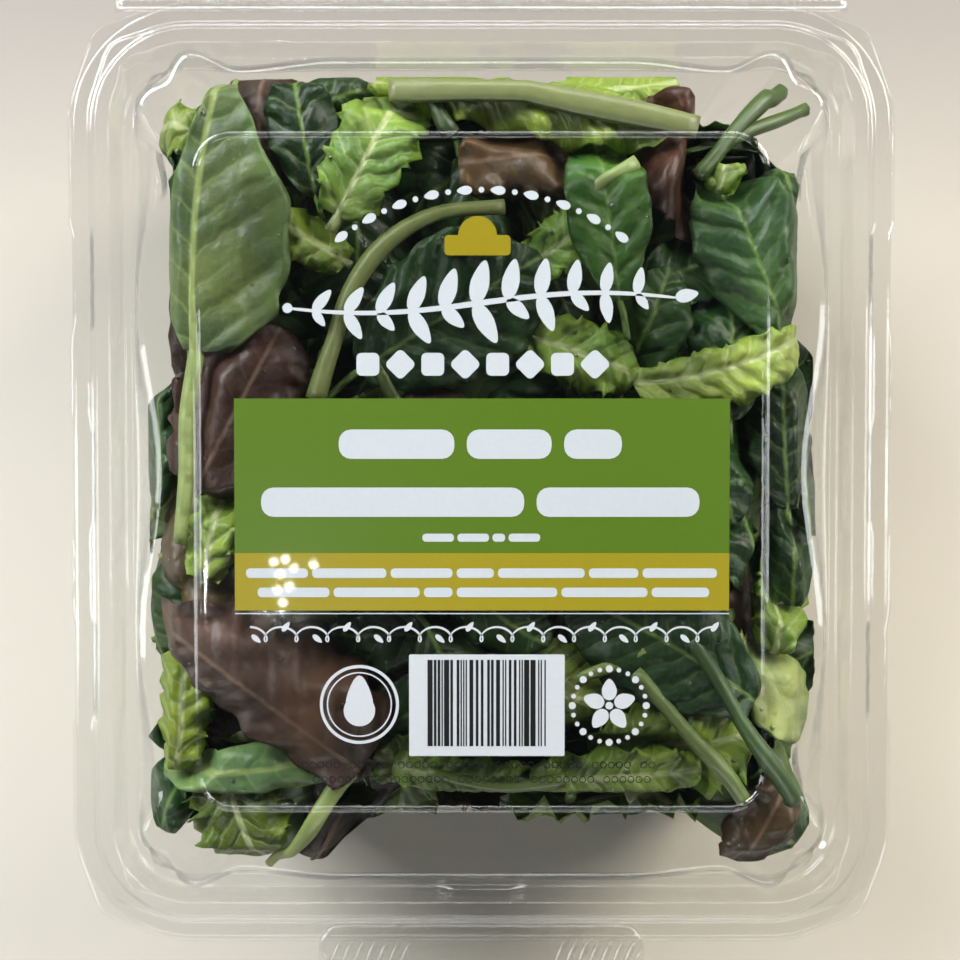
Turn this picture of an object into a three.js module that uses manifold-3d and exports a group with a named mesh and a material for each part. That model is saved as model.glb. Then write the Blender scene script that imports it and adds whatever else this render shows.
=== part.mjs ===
// A clear hinged clamshell pack filled with baby spinach and lettuce leaves.
// Millimetres. +Z is up, +Y points to the hinge and -Y to the lift tab. The pack
// stands on z = 0, and the origin is under the middle of its whole outline.
import * as THREE from 'three';
import { mergeVertices } from 'three/addons/utils/BufferGeometryUtils.js';
import Module from 'manifold-3d';

const wasm = await Module();
wasm.setup();

// ---------------------------------------------------------------------------
// Driving dimensions
// ---------------------------------------------------------------------------
const FLANGE = { halfWidth: 110.5, halfLength: 126.5, radius: 32 };
const FLANGE_TOP = 82; // top of the tray's flange above the table
const SHEET = 0.6; // wall of the formed plastic
const FIT = 0.4; // clearance between the tray and the lid

const RIDGE = { start: 5.8, top: 7.0, end: 9.6, height: 3.6 };
const PLUG = { inset: 12.4, depth: 6.5, lidDepth: 4, groove: 16.5, wave: 0.2 };
const LEDGE = { inset: 15, depth: 7.2 };
const WALL = {
  midInset: 19,
  midDepth: 38,
  midWave: 0.6, // share of the plateau's wave that the wall takes
  lowInset: 22.5,
  lowDepth: 70,
  lowWave: 0.8,
  radius: 15,
};
const FLOOR = { inset: 27.5, radius: 12, footInset: 36, kick: 1.2, kickRun: 2, wave: 0.3 };

const DOME_RISE = 17; // the lid's plateau above the tray's flange
const PLATEAU = { halfWidth: 87.2, halfLength: 105.5, radius: 12, shoulder: 1.8 };
const PANEL = { halfWidth: 73.5, halfLength: 87, radius: 9, depth: 1, run: 1 };
const WAVE = { swing: 2.3, lobe: 2.07, pitch: 83, endDip: 63, endFlat: 38, notch: 4.5 };

const HINGE = { halfWidth: 98, reach: 1.2, overlap: 3, skim: 0.05 };
const TAB = { halfWidth: 44, radius: 5.5, lidReach: 12, trayReach: 8, emboss: 0.4, overlap: 4 };

const LABEL = { halfWidth: 64.5, halfLength: 80, radius: 6, thickness: 0.2, lift: 0.3 };

const HEAP = {
  halfWidth: 86,
  halfLength: 101,
  shiftY: 3,
  floor: 2,
  crown: 8.5, // above the flange
  edgeDrop: 15,
  ease: 0.09, // how far the corners are pulled in
  margin: 1.6, // kept from the plastic
  bareCorner: { x: 84, y: 84, reach: 30, depth: 9 }, // the loose corner by the hinge
  rag: { height: 0.8, scale: 1.6, leanX: 40, leanY: -30 }, // raggedness of the sides
  steps: [9, 10, 3],
};
const LUMPS = {
  broad: { height: 2.4, x: 0.085, y: 0.075, phaseX: 0.7, phaseY: -0.4 },
  middling: { height: 1.7, x: 0.13, y: -0.11, phase: 1.3 },
  fine: { height: 1.1, x: 0.61, y: 0.47, phase: 2.1 },
};
const LEAF = { thickness: 2.8, rootDepth: 4.5, crossArch: 0.5, sides: 6, rows: 5 };
const STEM = { sides: 5, taper: 0.77 };

// Steps along a long side, along a short side and round a corner
const SHELL_STEPS = [14, 12, 5];
const ROOM_STEPS = [10, 8, 3];
const PLATE_CORNER = 3;

// ---------------------------------------------------------------------------
// Rings: rounded rectangles whose points correspond from one ring to the next
// ---------------------------------------------------------------------------

// Each station says which corner centre it swings about and which way it faces.
function makeStations(long, short, corner) {
  const sides = [
    { count: long, from: [1, -1], to: [1, 1], turn: 0 },
    { count: short, from: [1, 1], to: [-1, 1], turn: Math.PI / 2 },
    { count: long, from: [-1, 1], to: [-1, -1], turn: Math.PI },
    { count: short, from: [-1, -1], to: [1, -1], turn: 1.5 * Math.PI },
  ];
  const stations = [];
  for (const side of sides) {
    for (let i = 0; i < side.count; i += 1) {
      const t = i / side.count;
      const sx = THREE.MathUtils.lerp(side.from[0], side.to[0], t);
      const sy = THREE.MathUtils.lerp(side.from[1], side.to[1], t);
      stations.push({ sx, sy, turn: side.turn, bend: 0 });
    }
    for (let i = 0; i < corner; i += 1) {
      const bend = i / corner;
      const turn = side.turn + (bend * Math.PI) / 2;
      stations.push({ sx: side.to[0], sy: side.to[1], turn, bend });
    }
  }
  return stations;
}

const SHELL_STATIONS = makeStations(...SHELL_STEPS);

function smooth(from, to, value) {
  return THREE.MathUtils.smoothstep(value, from, to);
}

// How far the plateau's edge stands out from its plain outline at a station.
function waveAt({ sx, sy, bend }) {
  const { swing, lobe, pitch, endDip, endFlat, notch } = WAVE;
  if (bend > 0) {
    return lobe - notch * Math.sin(Math.PI * bend) ** 2;
  }
  const x = Math.abs(sx) * (PLATEAU.halfWidth - PLATEAU.radius);
  const y = Math.abs(sy) * (PLATEAU.halfLength - PLATEAU.radius);
  if (Math.abs(sx) === 1 && Math.abs(sy) < 1) {
    const rise = smooth(pitch, PLATEAU.halfLength - PLATEAU.radius, y);
    const wave = -swing * Math.cos((2 * Math.PI * Math.min(y, pitch)) / pitch);
    return THREE.MathUtils.lerp(wave, lobe, rise);
  }
  const dip = -swing * smooth(endFlat, endDip, x);
  const rise = smooth(endDip, PLATEAU.halfWidth - PLATEAU.radius, x);
  return THREE.MathUtils.lerp(dip, lobe, rise);
}

// The points of one ring: half sizes a and b, corner radius r, height z, and the
// share of the wave that it takes.
function ringPoints({ a, b, r, z, wave = 0 }, stations) {
  return stations.map((station) => {
    const out = r + wave * waveAt(station);
    const x = (a - r) * station.sx + out * Math.cos(station.turn);
    const y = (b - r) * station.sy + out * Math.sin(station.turn);
    return new THREE.Vector3(x, y, z);
  });
}

// A closed body skinned over rings, from the middle of its underside to the
// middle of its top.
function skin(rings, bottom, top) {
  const count = rings[0].length;
  const points = [...rings.flat(), bottom, top];
  const under = rings.length * count;
  const over = under + 1;
  const last = (rings.length - 1) * count;
  const index = [];
  for (let i = 0; i < count; i += 1) {
    const next = (i + 1) % count;
    index.push(under, next, i);
    for (let j = 0; j < rings.length - 1; j += 1) {
      const here = j * count;
      const above = here + count;
      index.push(here + i, here + next, above + next);
      index.push(here + i, above + next, above + i);
    }
    index.push(last + i, last + next, over);
  }
  const geometry = new THREE.BufferGeometry().setFromPoints(points);
  geometry.setIndex(index);
  return geometry;
}

// ---------------------------------------------------------------------------
// Formed sheet: a profile of rings, run inwards from the flange's edge
// ---------------------------------------------------------------------------

// A ring that lies a set distance inside the flange's edge.
function inside(inset, z, extra = {}) {
  return {
    a: FLANGE.halfWidth - inset,
    b: FLANGE.halfLength - inset,
    r: FLANGE.radius - inset,
    z,
    ...extra,
  };
}

// The profile moved square to itself: upwards on a level stretch, and outwards on
// a stretch that climbs.
function offsetProfile(profile, distance) {
  const normals = profile.slice(1).map((ring, i) => {
    const run = profile[i].a - ring.a;
    const rise = ring.z - profile[i].z;
    return new THREE.Vector2(-rise, run).normalize();
  });
  return profile.map((ring, i) => {
    const before = normals[Math.max(i - 1, 0)];
    const after = normals[Math.min(i, normals.length - 1)];
    const mitre = before.clone().add(after);
    mitre.multiplyScalar(distance / (1 + before.dot(after)));
    return {
      ...ring,
      a: ring.a - mitre.x,
      b: ring.b - mitre.x,
      r: Math.max(ring.r - mitre.x, 1),
      z: ring.z + mitre.y,
    };
  });
}

function sheetBody(upper) {
  const lower = offsetProfile(upper, -SHEET).reverse();
  const rings = [...lower, ...upper].map((ring) => ringPoints(ring, SHELL_STATIONS));
  const under = new THREE.Vector3(0, 0, lower[0].z);
  const over = new THREE.Vector3(0, 0, upper[upper.length - 1].z);
  return skin(rings, under, over);
}

// The rim of the tray, from the edge over the ridge and down its inner side.
function rimProfile() {
  return [
    inside(0, FLANGE_TOP),
    inside(RIDGE.start, FLANGE_TOP),
    inside(RIDGE.top, FLANGE_TOP + RIDGE.height),
    inside(RIDGE.end, FLANGE_TOP + RIDGE.height),
    inside(PLUG.inset, FLANGE_TOP - PLUG.depth),
  ];
}

function trayProfile() {
  const foot = { r: FLOOR.radius };
  const kick = FLOOR.footInset + FLOOR.kickRun;
  return [
    ...rimProfile(),
    inside(LEDGE.inset, FLANGE_TOP - LEDGE.depth),
    inside(WALL.midInset, FLANGE_TOP - WALL.midDepth, { r: WALL.radius, wave: WALL.midWave }),
    inside(WALL.lowInset, FLANGE_TOP - WALL.lowDepth, { r: WALL.radius, wave: WALL.lowWave }),
    inside(FLOOR.inset, SHEET, { ...foot, wave: FLOOR.wave }),
    inside(FLOOR.footInset, SHEET, foot),
    inside(kick, SHEET + FLOOR.kick, foot),
  ];
}

function lidProfile() {
  const rim = offsetProfile(rimProfile(), SHEET + FIT);
  const ridge = rim[3];
  const plug = rim[4];
  const bottom = FLANGE_TOP - PLUG.lidDepth;
  const t = (ridge.z - bottom) / (ridge.z - plug.z);
  const mix = (key) => THREE.MathUtils.lerp(ridge[key], plug[key], t);
  const top = FLANGE_TOP + DOME_RISE;
  const { halfWidth, halfLength, radius, shoulder } = PLATEAU;
  const panel = { a: PANEL.halfWidth, b: PANEL.halfLength, r: PANEL.radius };
  return [
    ...rim.slice(0, 4),
    { a: mix('a'), b: mix('b'), r: mix('r'), z: bottom },
    inside(PLUG.groove, bottom, { wave: PLUG.wave }),
    { a: halfWidth, b: halfLength, r: radius, z: top - shoulder, wave: 1 },
    {
      a: halfWidth - shoulder,
      b: halfLength - shoulder,
      r: radius - shoulder / 2,
      z: top,
      wave: 1,
    },
    { ...panel, z: top },
    {
      a: panel.a - PANEL.run,
      b: panel.b - PANEL.run,
      r: panel.r - PANEL.run,
      z: top - PANEL.depth,
    },
  ];
}

// ---------------------------------------------------------------------------
// Joining and cutting
// ---------------------------------------------------------------------------
function toSolid(geometry) {
  const bare = new THREE.BufferGeometry();
  bare.setAttribute('position', geometry.getAttribute('position').clone());
  if (geometry.index) {
    bare.setIndex(geometry.index.clone());
  }
  const merged = mergeVertices(bare, 1e-4);
  const vertProperties = new Float32Array(merged.getAttribute('position').array);
  const triVerts = new Uint32Array(merged.index.array);
  return new wasm.Manifold(new wasm.Mesh({ numProp: 3, vertProperties, triVerts }));
}

function toGeometry(solid) {
  const { vertProperties, triVerts } = solid.getMesh();
  const geometry = new THREE.BufferGeometry();
  const position = new THREE.BufferAttribute(new Float32Array(vertProperties), 3);
  geometry.setAttribute('position', position);
  geometry.setIndex(new THREE.BufferAttribute(new Uint32Array(triVerts), 1));
  return geometry;
}

function joined(solids) {
  return solids.reduce((sum, solid) => sum.add(solid));
}

// ---------------------------------------------------------------------------
// Plates: the lift tabs, the hinge strips and the label
// ---------------------------------------------------------------------------
function roundedPlate(halfWidth, low, high, radius, base, thickness) {
  const shape = new THREE.Shape();
  shape.absarc(halfWidth - radius, low + radius, radius, -Math.PI / 2, 0);
  shape.absarc(halfWidth - radius, high - radius, radius, 0, Math.PI / 2);
  shape.absarc(radius - halfWidth, high - radius, radius, Math.PI / 2, Math.PI);
  shape.absarc(radius - halfWidth, low + radius, radius, Math.PI, 1.5 * Math.PI);
  const options = { depth: thickness, bevelEnabled: false, curveSegments: PLATE_CORNER };
  return new THREE.ExtrudeGeometry(shape, options).translate(0, 0, base);
}

// The lift tab stands proud of the flange: above it on the lid, below it on the tray.
function liftTab(reach, base) {
  const low = -FLANGE.halfLength - reach;
  const high = -FLANGE.halfLength + TAB.overlap;
  const thickness = SHEET + TAB.emboss - HINGE.skim;
  return roundedPlate(TAB.halfWidth, low, high, TAB.radius, base, thickness);
}

function hingeStrip(base) {
  const depth = HINGE.reach + HINGE.overlap;
  const height = SHEET - 2 * HINGE.skim;
  const strip = new THREE.BoxGeometry(2 * HINGE.halfWidth, depth, height);
  const y = FLANGE.halfLength + HINGE.reach - depth / 2;
  return strip.translate(0, y, base + SHEET / 2);
}

function trayShell() {
  const under = FLANGE_TOP - SHEET;
  return toGeometry(joined([
    toSolid(sheetBody(trayProfile())),
    toSolid(liftTab(TAB.trayReach, under - TAB.emboss)),
    toSolid(hingeStrip(under)),
  ]));
}

function lidShell() {
  const under = FLANGE_TOP + FIT;
  return toGeometry(joined([
    toSolid(sheetBody(lidProfile())),
    toSolid(liftTab(TAB.lidReach, under + HINGE.skim)),
    toSolid(hingeStrip(under)),
  ]));
}

function labelSheet() {
  const { halfWidth, halfLength, radius, thickness, lift } = LABEL;
  const base = FLANGE_TOP + DOME_RISE - PANEL.depth + lift;
  return roundedPlate(halfWidth, -halfLength, halfLength, radius, base, thickness);
}

// ---------------------------------------------------------------------------
// The heap of leaves
// ---------------------------------------------------------------------------

// Lumps of loosely packed leaves, in millimetres either way.
function lumps(x, y) {
  const { broad, middling, fine } = LUMPS;
  const swell = Math.sin(broad.x * x + broad.phaseX) * Math.cos(broad.y * y + broad.phaseY);
  const ripples = [middling, fine].map((wave) => {
    return wave.height * Math.sin(wave.x * x + wave.y * y + wave.phase);
  });
  return broad.height * swell + ripples[0] + ripples[1];
}

// The heap's own body: a block with ragged sides, eased corners and a lumpy crown
// that falls away towards its edges.
function heapCore() {
  const block = new THREE.BoxGeometry(2, 2, 2, ...HEAP.steps);
  const position = block.getAttribute('position');
  const { halfWidth, halfLength, crown, edgeDrop, ease, bareCorner, rag } = HEAP;
  for (let i = 0; i < position.count; i += 1) {
    const u = position.getX(i);
    const v = position.getY(i);
    const level = (position.getZ(i) + 1) / 2;
    const reach = Math.max(Math.abs(u), Math.abs(v));
    const x = halfWidth * u * (1 - ease * v ** 2);
    const y = halfLength * v * (1 - ease * u ** 2);
    const gap = Math.hypot(x - bareCorner.x, y - bareCorner.y);
    const pull = bareCorner.depth * Math.exp(-((gap / bareCorner.reach) ** 2));
    const across = rag.scale * x + rag.leanX * level;
    const along = rag.scale * y + rag.leanY * level;
    const ragged = rag.height * lumps(across, along) - pull;
    const swell = 1 + (reach ** 3 * ragged) / halfWidth;
    const top = FLANGE_TOP + crown - edgeDrop * reach ** 8 + lumps(x, y);
    const z = THREE.MathUtils.lerp(HEAP.floor, top, level);
    position.setXYZ(i, x * swell, y * swell + HEAP.shiftY, z);
  }
  return toSolid(block);
}

// One leaf: a lens arched along its length and turned to its heading. Its
// underside runs deeper, down into the leaves that it lies on.
function leaf({ at, size, turn, top, arch = 4, roll = 0 }) {
  const [length, width] = size;
  const blade = new THREE.SphereGeometry(1, LEAF.sides, LEAF.rows);
  blade.rotateZ(-Math.PI / 2);
  blade.scale(length / 2, width / 2, LEAF.thickness / 2);
  const position = blade.getAttribute('position');
  for (let i = 0; i < position.count; i += 1) {
    const along = (2 * position.getX(i)) / length;
    const across = (2 * position.getY(i)) / width;
    const sag = arch * (along ** 2 + LEAF.crossArch * across ** 2);
    const z = position.getZ(i);
    position.setZ(i, (z < 0 ? z * LEAF.rootDepth : z) - sag);
  }
  blade.rotateX(THREE.MathUtils.degToRad(roll));
  blade.rotateZ(THREE.MathUtils.degToRad(turn));
  blade.translate(at[0], at[1], FLANGE_TOP + top);
  return toSolid(blade);
}

// One cut stem between two points, round and a little thicker at its cut end.
function stem({ from, to, thick }) {
  const start = new THREE.Vector3(from[0], from[1], FLANGE_TOP + from[2]);
  const end = new THREE.Vector3(to[0], to[1], FLANGE_TOP + to[2]);
  const length = start.distanceTo(end);
  const radius = thick / 2;
  const rod = new THREE.CylinderGeometry(radius, radius * STEM.taper, length, STEM.sides);
  const way = end.clone().sub(start).normalize();
  const turned = new THREE.Quaternion().setFromUnitVectors(new THREE.Vector3(0, 1, 0), way);
  rod.applyQuaternion(turned);
  const middle = start.add(end).multiplyScalar(0.5);
  return toSolid(rod.translate(middle.x, middle.y, middle.z));
}

// The leaves that shape the top of the heap. at, size and top are in millimetres,
// top above the flange; turn and roll are in degrees.
const LEAVES = {
  sageSpinach: { at: [-67, 68], size: [74, 36], turn: 82, top: 12, arch: 3 },
  curledTip: { at: [-77, 91], size: [22, 12], turn: 20, top: 8, roll: 15 },
  foldedLettuce: { at: [-28, 86], size: [40, 20], turn: 65, top: 10 },
  paleRib: { at: [18, 100], size: [84, 11], turn: -13, top: 9, arch: 2 },
  roundedTip: { at: [35, 101], size: [34, 15], turn: 12, top: 6 },
  brownLettuce: { at: [14, 82], size: [38, 18], turn: 5, top: 11 },
  maroonByHinge: { at: [52, 77], size: [36, 24], turn: -60, top: 11 },
  foldedSpinach: { at: [33, 66], size: [42, 20], turn: 100, top: 12 },
  veinedSpinach: { at: [71, 60], size: [50, 26], turn: 108, top: 9, roll: -10 },
  frilledLettuce: { at: [63, 31], size: [52, 22], turn: 15, top: 12 },
  darkSide: { at: [82, 13], size: [44, 18], turn: 92, top: 1, roll: -35 },
  frilledSide: { at: [80, -22], size: [36, 18], turn: 78, top: 2, roll: -30 },
  middleSpinach: { at: [-8, 42], size: [52, 40], turn: 30, top: 12 },
  maroonLeft: { at: [-64, 17], size: [46, 32], turn: 60, top: 10, roll: 8 },
  darkLeft: { at: [-87, 8], size: [34, 12], turn: 90, top: -6, roll: 40 },
  mauveLettuce: { at: [-62, -55], size: [66, 36], turn: -35, top: 12, arch: 3 },
  frilledLeft: { at: [-79, -60], size: [32, 16], turn: 88, top: 4, roll: 25 },
  foldedUnder: { at: [-54, -82], size: [70, 18], turn: 8, top: 9 },
  oliveFrill: { at: [-56, -91], size: [42, 20], turn: 2, top: 5 },
  blueSpinach: { at: [48, -42], size: [54, 36], turn: -30, top: 12 },
  brightLettuce: { at: [50, -74], size: [44, 30], turn: 10, top: 9 },
  spottedLeaf: { at: [80, -57], size: [30, 18], turn: -60, top: 2, roll: -20 },
  brownCorner: { at: [72, -94], size: [30, 22], turn: 60, top: -2 },
};

const STEMS = {
  sageStem: { from: [-76, 48, 12.5], to: [-85, -19, 9], thick: 5 },
  upperCut: { from: [52, 76, 7], to: [82, 106, 9], thick: 4.5 },
  lowerCut: { from: [54, 80, 6], to: [87, 97, 6], thick: 4 },
  blueStem: { from: [58, -46, 12], to: [83, -88, 6], thick: 5 },
  stalk: { from: [-40, -80, 8], to: [-56, -105, 3], thick: 8 },
};

// The room inside the shut pack, less a small margin all round.
function room() {
  const tray = offsetProfile(trayProfile(), HEAP.margin);
  const lid = offsetProfile(lidProfile(), -SHEET - HEAP.margin);
  const [mid, low, edge, foot, kick] = tray.slice(6);
  const neck = inside(PLUG.groove + 2 * HEAP.margin, FLANGE_TOP - PLUG.depth);
  const rings = [kick, foot, edge, low, mid, neck, ...lid.slice(6)];
  const [bottom, top] = [rings[0], rings[rings.length - 1]];
  bottom.z += HEAP.margin;
  foot.z = bottom.z;
  const stations = makeStations(...ROOM_STEPS);
  const points = rings.map((ring) => ringPoints(ring, stations));
  const under = new THREE.Vector3(0, 0, bottom.z);
  const over = new THREE.Vector3(0, 0, top.z);
  return toSolid(skin(points, under, over));
}

function leafHeap() {
  const blades = Object.values(LEAVES).map(leaf);
  const stems = Object.values(STEMS).map(stem);
  const heap = joined([heapCore(), ...blades, ...stems]).intersect(room());
  const bodies = heap.decompose();
  bodies.sort((one, other) => other.volume() - one.volume());
  return toGeometry(bodies[0]);
}

// ---------------------------------------------------------------------------
// The object
// ---------------------------------------------------------------------------
function finish(color, roughness, extra = {}) {
  return new THREE.MeshStandardMaterial({ color, roughness, metalness: 0, ...extra });
}

function part(name, geometry, material) {
  const mesh = new THREE.Mesh(geometry, material);
  mesh.name = name;
  return mesh;
}

const clearPlastic = finish(0xf2f5f4, 0.06, { transparent: true, opacity: 0.25 });
const printedFilm = finish(0x628a28, 0.2);
const leafGreen = finish(0x3d5a2b, 0.45);

const clamshell = new THREE.Group();
clamshell.add(part('tray', trayShell(), clearPlastic));
clamshell.add(part('lid', lidShell(), clearPlastic));
clamshell.add(part('label', labelSheet(), printedFilm));
clamshell.add(part('leaves', leafHeap(), leafGreen));
clamshell.position.y = (TAB.lidReach - HINGE.reach) / 2;

export default clamshell;
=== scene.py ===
"""Clear hinged clamshell of spinach and lettuce leaves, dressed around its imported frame."""

from __future__ import annotations

import logging
import math
from dataclasses import dataclass, field, replace
from enum import Enum
from typing import Callable, Sequence

import bmesh
import bpy
import numpy as np
from mathutils import Matrix, Vector

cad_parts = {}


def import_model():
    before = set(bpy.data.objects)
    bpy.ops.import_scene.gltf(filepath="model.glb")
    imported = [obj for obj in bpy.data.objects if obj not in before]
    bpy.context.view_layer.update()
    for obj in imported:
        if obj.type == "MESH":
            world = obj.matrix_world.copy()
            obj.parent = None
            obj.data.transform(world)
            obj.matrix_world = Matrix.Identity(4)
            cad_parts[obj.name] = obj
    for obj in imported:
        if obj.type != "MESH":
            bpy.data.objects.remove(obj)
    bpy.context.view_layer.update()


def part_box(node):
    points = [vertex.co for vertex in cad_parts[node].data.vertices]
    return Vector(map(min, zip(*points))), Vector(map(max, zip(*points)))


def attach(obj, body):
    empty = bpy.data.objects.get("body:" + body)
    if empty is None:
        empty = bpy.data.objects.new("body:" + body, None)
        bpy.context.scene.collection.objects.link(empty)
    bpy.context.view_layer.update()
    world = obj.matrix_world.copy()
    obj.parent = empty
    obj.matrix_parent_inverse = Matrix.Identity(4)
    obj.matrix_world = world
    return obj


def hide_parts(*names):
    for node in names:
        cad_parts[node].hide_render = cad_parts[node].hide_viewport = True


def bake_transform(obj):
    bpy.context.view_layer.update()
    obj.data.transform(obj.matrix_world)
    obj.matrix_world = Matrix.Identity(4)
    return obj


LOG = logging.getLogger("clamshell")

Array = np.ndarray
Socket = bpy.types.NodeSocket
Material = bpy.types.Material
Piece = bpy.types.Object
Pair = tuple[float, float]
Floats = tuple[float, ...]

# Sizes are in millimetres and meshes in metres.
MM = 0.001
TURN = 2 * math.pi
CLEAR_WHITE = (1.0, 1.0, 1.0, 1.0)


# ---- Mesh tools ----
def smooth_step(start: float, end: float, value: Array | float) -> Array | float:
    """Eases from 0 at start to 1 at end."""
    t = np.clip((value - start) / (end - start), 0.0, 1.0)
    return t * t * (3.0 - 2.0 * t)


def unit(vectors: Array) -> Array:
    """Scales the vectors along the last axis to length one."""
    return vectors / np.maximum(np.linalg.norm(vectors, axis=-1, keepdims=True), 1e-9)


def lay_grid(bm: bmesh.types.BMesh, points: Array) -> list[bmesh.types.BMVert]:
    """Adds a sheet of quads whose corners lie at the given points.

    Args:
        bm: The mesh that takes the sheet.
        points: Rows by columns by 3, in millimetres.

    Returns:
        The new vertices, row by row.
    """
    rows, columns = points.shape[:2]
    made = bmesh.ops.create_grid(bm, x_segments=columns - 1, y_segments=rows - 1, size=1.0)
    for vert, place in zip(made["verts"], points.reshape(-1, 3) * MM):
        vert.co = place
    return made["verts"]


def merge_seams(bm: bmesh.types.BMesh, distance: float = 1e-6) -> None:
    """Merges the points that lie on each other, as where a ring closes."""
    bmesh.ops.remove_doubles(bm, verts=bm.verts[:], dist=distance)


def fill_holes(bm: bmesh.types.BMesh, keep: Callable[[Vector], bool]) -> None:
    """Closes the open loops whose edges' midpoints pass a test.

    Args:
        bm: The mesh to close.
        keep: Says whether the edge with this midpoint is part of a loop to close.
    """
    rim = [e for e in bm.edges if e.is_boundary and keep((e.verts[0].co + e.verts[1].co) / 2)]
    bmesh.ops.holes_fill(bm, edges=rim, sides=0)


def to_object(bm: bmesh.types.BMesh, name: str, smooth: bool = True) -> Piece:
    """Turns a finished bmesh into a scene object at the origin.

    Args:
        bm: The mesh, which is freed.
        name: The name of the piece.
        smooth: Whether its faces are shaded smooth.

    Returns:
        The new object.
    """
    mesh = bpy.data.meshes.new(name)
    for face in bm.faces:
        face.smooth = smooth
    bm.to_mesh(mesh)
    bm.free()
    piece = bpy.data.objects.new(name, mesh)
    bpy.context.scene.collection.objects.link(piece)
    return piece


def thicken(piece: Piece, thickness: float, offset: float = -1.0) -> None:
    """Gives a sheet its wall, in millimetres, behind its faces unless offset says otherwise."""
    wall = piece.modifiers.new("wall", "SOLIDIFY")
    wall.thickness = thickness * MM
    wall.offset = offset
    wall.use_even_offset = False


def place(
    piece: Piece,
    body: str,
    slot: str,
    material: Material,
    replaces: Sequence[str] = (),
) -> None:
    """Dresses a finished piece and hangs it on its body.

    Args:
        piece: The finished object.
        body: The body that it moves with, or nothing to leave it on no body.
        slot: Not used.
        material: Its material.
        replaces: The frame's nodes that it stands for.
    """
    piece.data.materials.append(material)
    if body:
        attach(piece, body)
    if replaces:
        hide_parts(*replaces)
    LOG.info("%s: %d faces", piece.name, len(piece.data.polygons))


# ---- Shader tools ----
class Shader:
    """A short way to write node trees."""

    def __init__(self, name: str) -> None:
        """Starts an empty material with an output."""
        self.material = bpy.data.materials.new(name)
        self.material.use_nodes = True
        self.tree = self.material.node_tree
        self.tree.nodes.clear()
        self.output = self.tree.nodes.new("ShaderNodeOutputMaterial")

    def node(self, kind: str, links: dict | None = None, **settings: object) -> bpy.types.Node:
        """Adds a node.

        Args:
            kind: The node's type, without its ShaderNode prefix.
            links: Input names or indices with a socket to join, a value to set or nothing.
            **settings: The node's own properties.

        Returns:
            The new node.
        """
        made = self.tree.nodes.new(f"ShaderNode{kind}")
        for key, value in settings.items():
            setattr(made, key, value)
        for key, value in (links or {}).items():
            if isinstance(value, Socket):
                self.tree.links.new(value, made.inputs[key])
            elif value is not None:
                made.inputs[key].default_value = value
        return made

    def math(self, operation: str, *values: object) -> Socket:
        """Adds a Math node and returns its result."""
        return self.node("Math", dict(enumerate(values)), operation=operation).outputs[0]

    def scaled(self, value: Socket, factor: object) -> Socket:
        """Multiplies a value."""
        return self.math("MULTIPLY", value, factor)

    def mix(self, share: object, first: object, second: object) -> Socket:
        """Blends two colours by a share and returns the result."""
        made = self.node("Mix", {0: share, 6: first, 7: second}, data_type="RGBA")
        return made.outputs[2]

    def ramp(
        self, value: Socket, stops: Sequence[tuple[float, Sequence[float]]]
    ) -> Socket:
        """Turns a value into a colour.

        Args:
            value: The socket to read.
            stops: Places from 0 to 1, each with its colour.

        Returns:
            The colour socket.
        """
        made = self.node("ValToRGB", {0: value})
        elements = made.color_ramp.elements
        while len(elements) < len(stops):
            elements.new(1.0)
        for element, (position, colour) in zip(elements, stops):
            element.position = position
            element.color = (*colour, 1.0)
        return made.outputs[0]

    def noise(self, vector: object, scale: float, detail: float = 3.0) -> Socket:
        """Adds smooth noise on a vector and returns its value."""
        links = {"Vector": vector, "Scale": scale, "Detail": detail}
        return self.node("TexNoise", links).outputs["Fac"]

    def place(self) -> Socket:
        """Returns the point's place on the object."""
        return self.node("TexCoord").outputs["Object"]

    def bump(self, height: Socket, strength: float, distance: float) -> Socket:
        """Turns a height into a bumped normal."""
        links = {"Height": height, "Strength": strength, "Distance": distance}
        return self.node("Bump", links).outputs["Normal"]

    def coat(self, base: Socket, roughness: float, normal: object = None) -> bpy.types.Node:
        """Adds a plain painted or living skin."""
        return self.node("BsdfPrincipled", {"Base Color": base, "Roughness": roughness, "Normal": normal})

    def glaze(
        self, tint: object, share: Socket, roughness: float, normal: object = None
    ) -> Material:
        """Finishes a clear material.

        Args:
            tint: The colour of what is seen through it.
            share: How much of it is gloss.
            roughness: The gloss's roughness.
            normal: The gloss's bumped normal, if any.

        Returns:
            The material.
        """
        clear = self.node("BsdfTransparent", {"Color": tint}).outputs[0]
        gloss_links = {"Color": CLEAR_WHITE, "Roughness": roughness, "Normal": normal}
        gloss = self.node("BsdfAnisotropic", gloss_links).outputs[0]
        return self.finish(self.node("MixShader", {0: share, 1: clear, 2: gloss}).outputs[0])

    def finish(self, surface: Socket) -> Material:
        """Joins the surface to the output and returns the material."""
        self.tree.links.new(surface, self.output.inputs["Surface"])
        return self.material


def srgb(red: float, green: float, blue: float) -> tuple[float, float, float, float]:
    """Turns a display colour from 0 to 255 into a linear one."""
    parts = [c / 255.0 for c in (red, green, blue)]
    linear = [c / 12.92 if c <= 0.04045 else ((c + 0.055) / 1.055) ** 2.4 for c in parts]
    return (*linear, 1.0)


# ---- The pack's driving sizes, taken from the frame ----
RIDGE_HEIGHT = 3.6
HINGE_REACH = 1.2
FLANGE_RADIUS = 32.0


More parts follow.
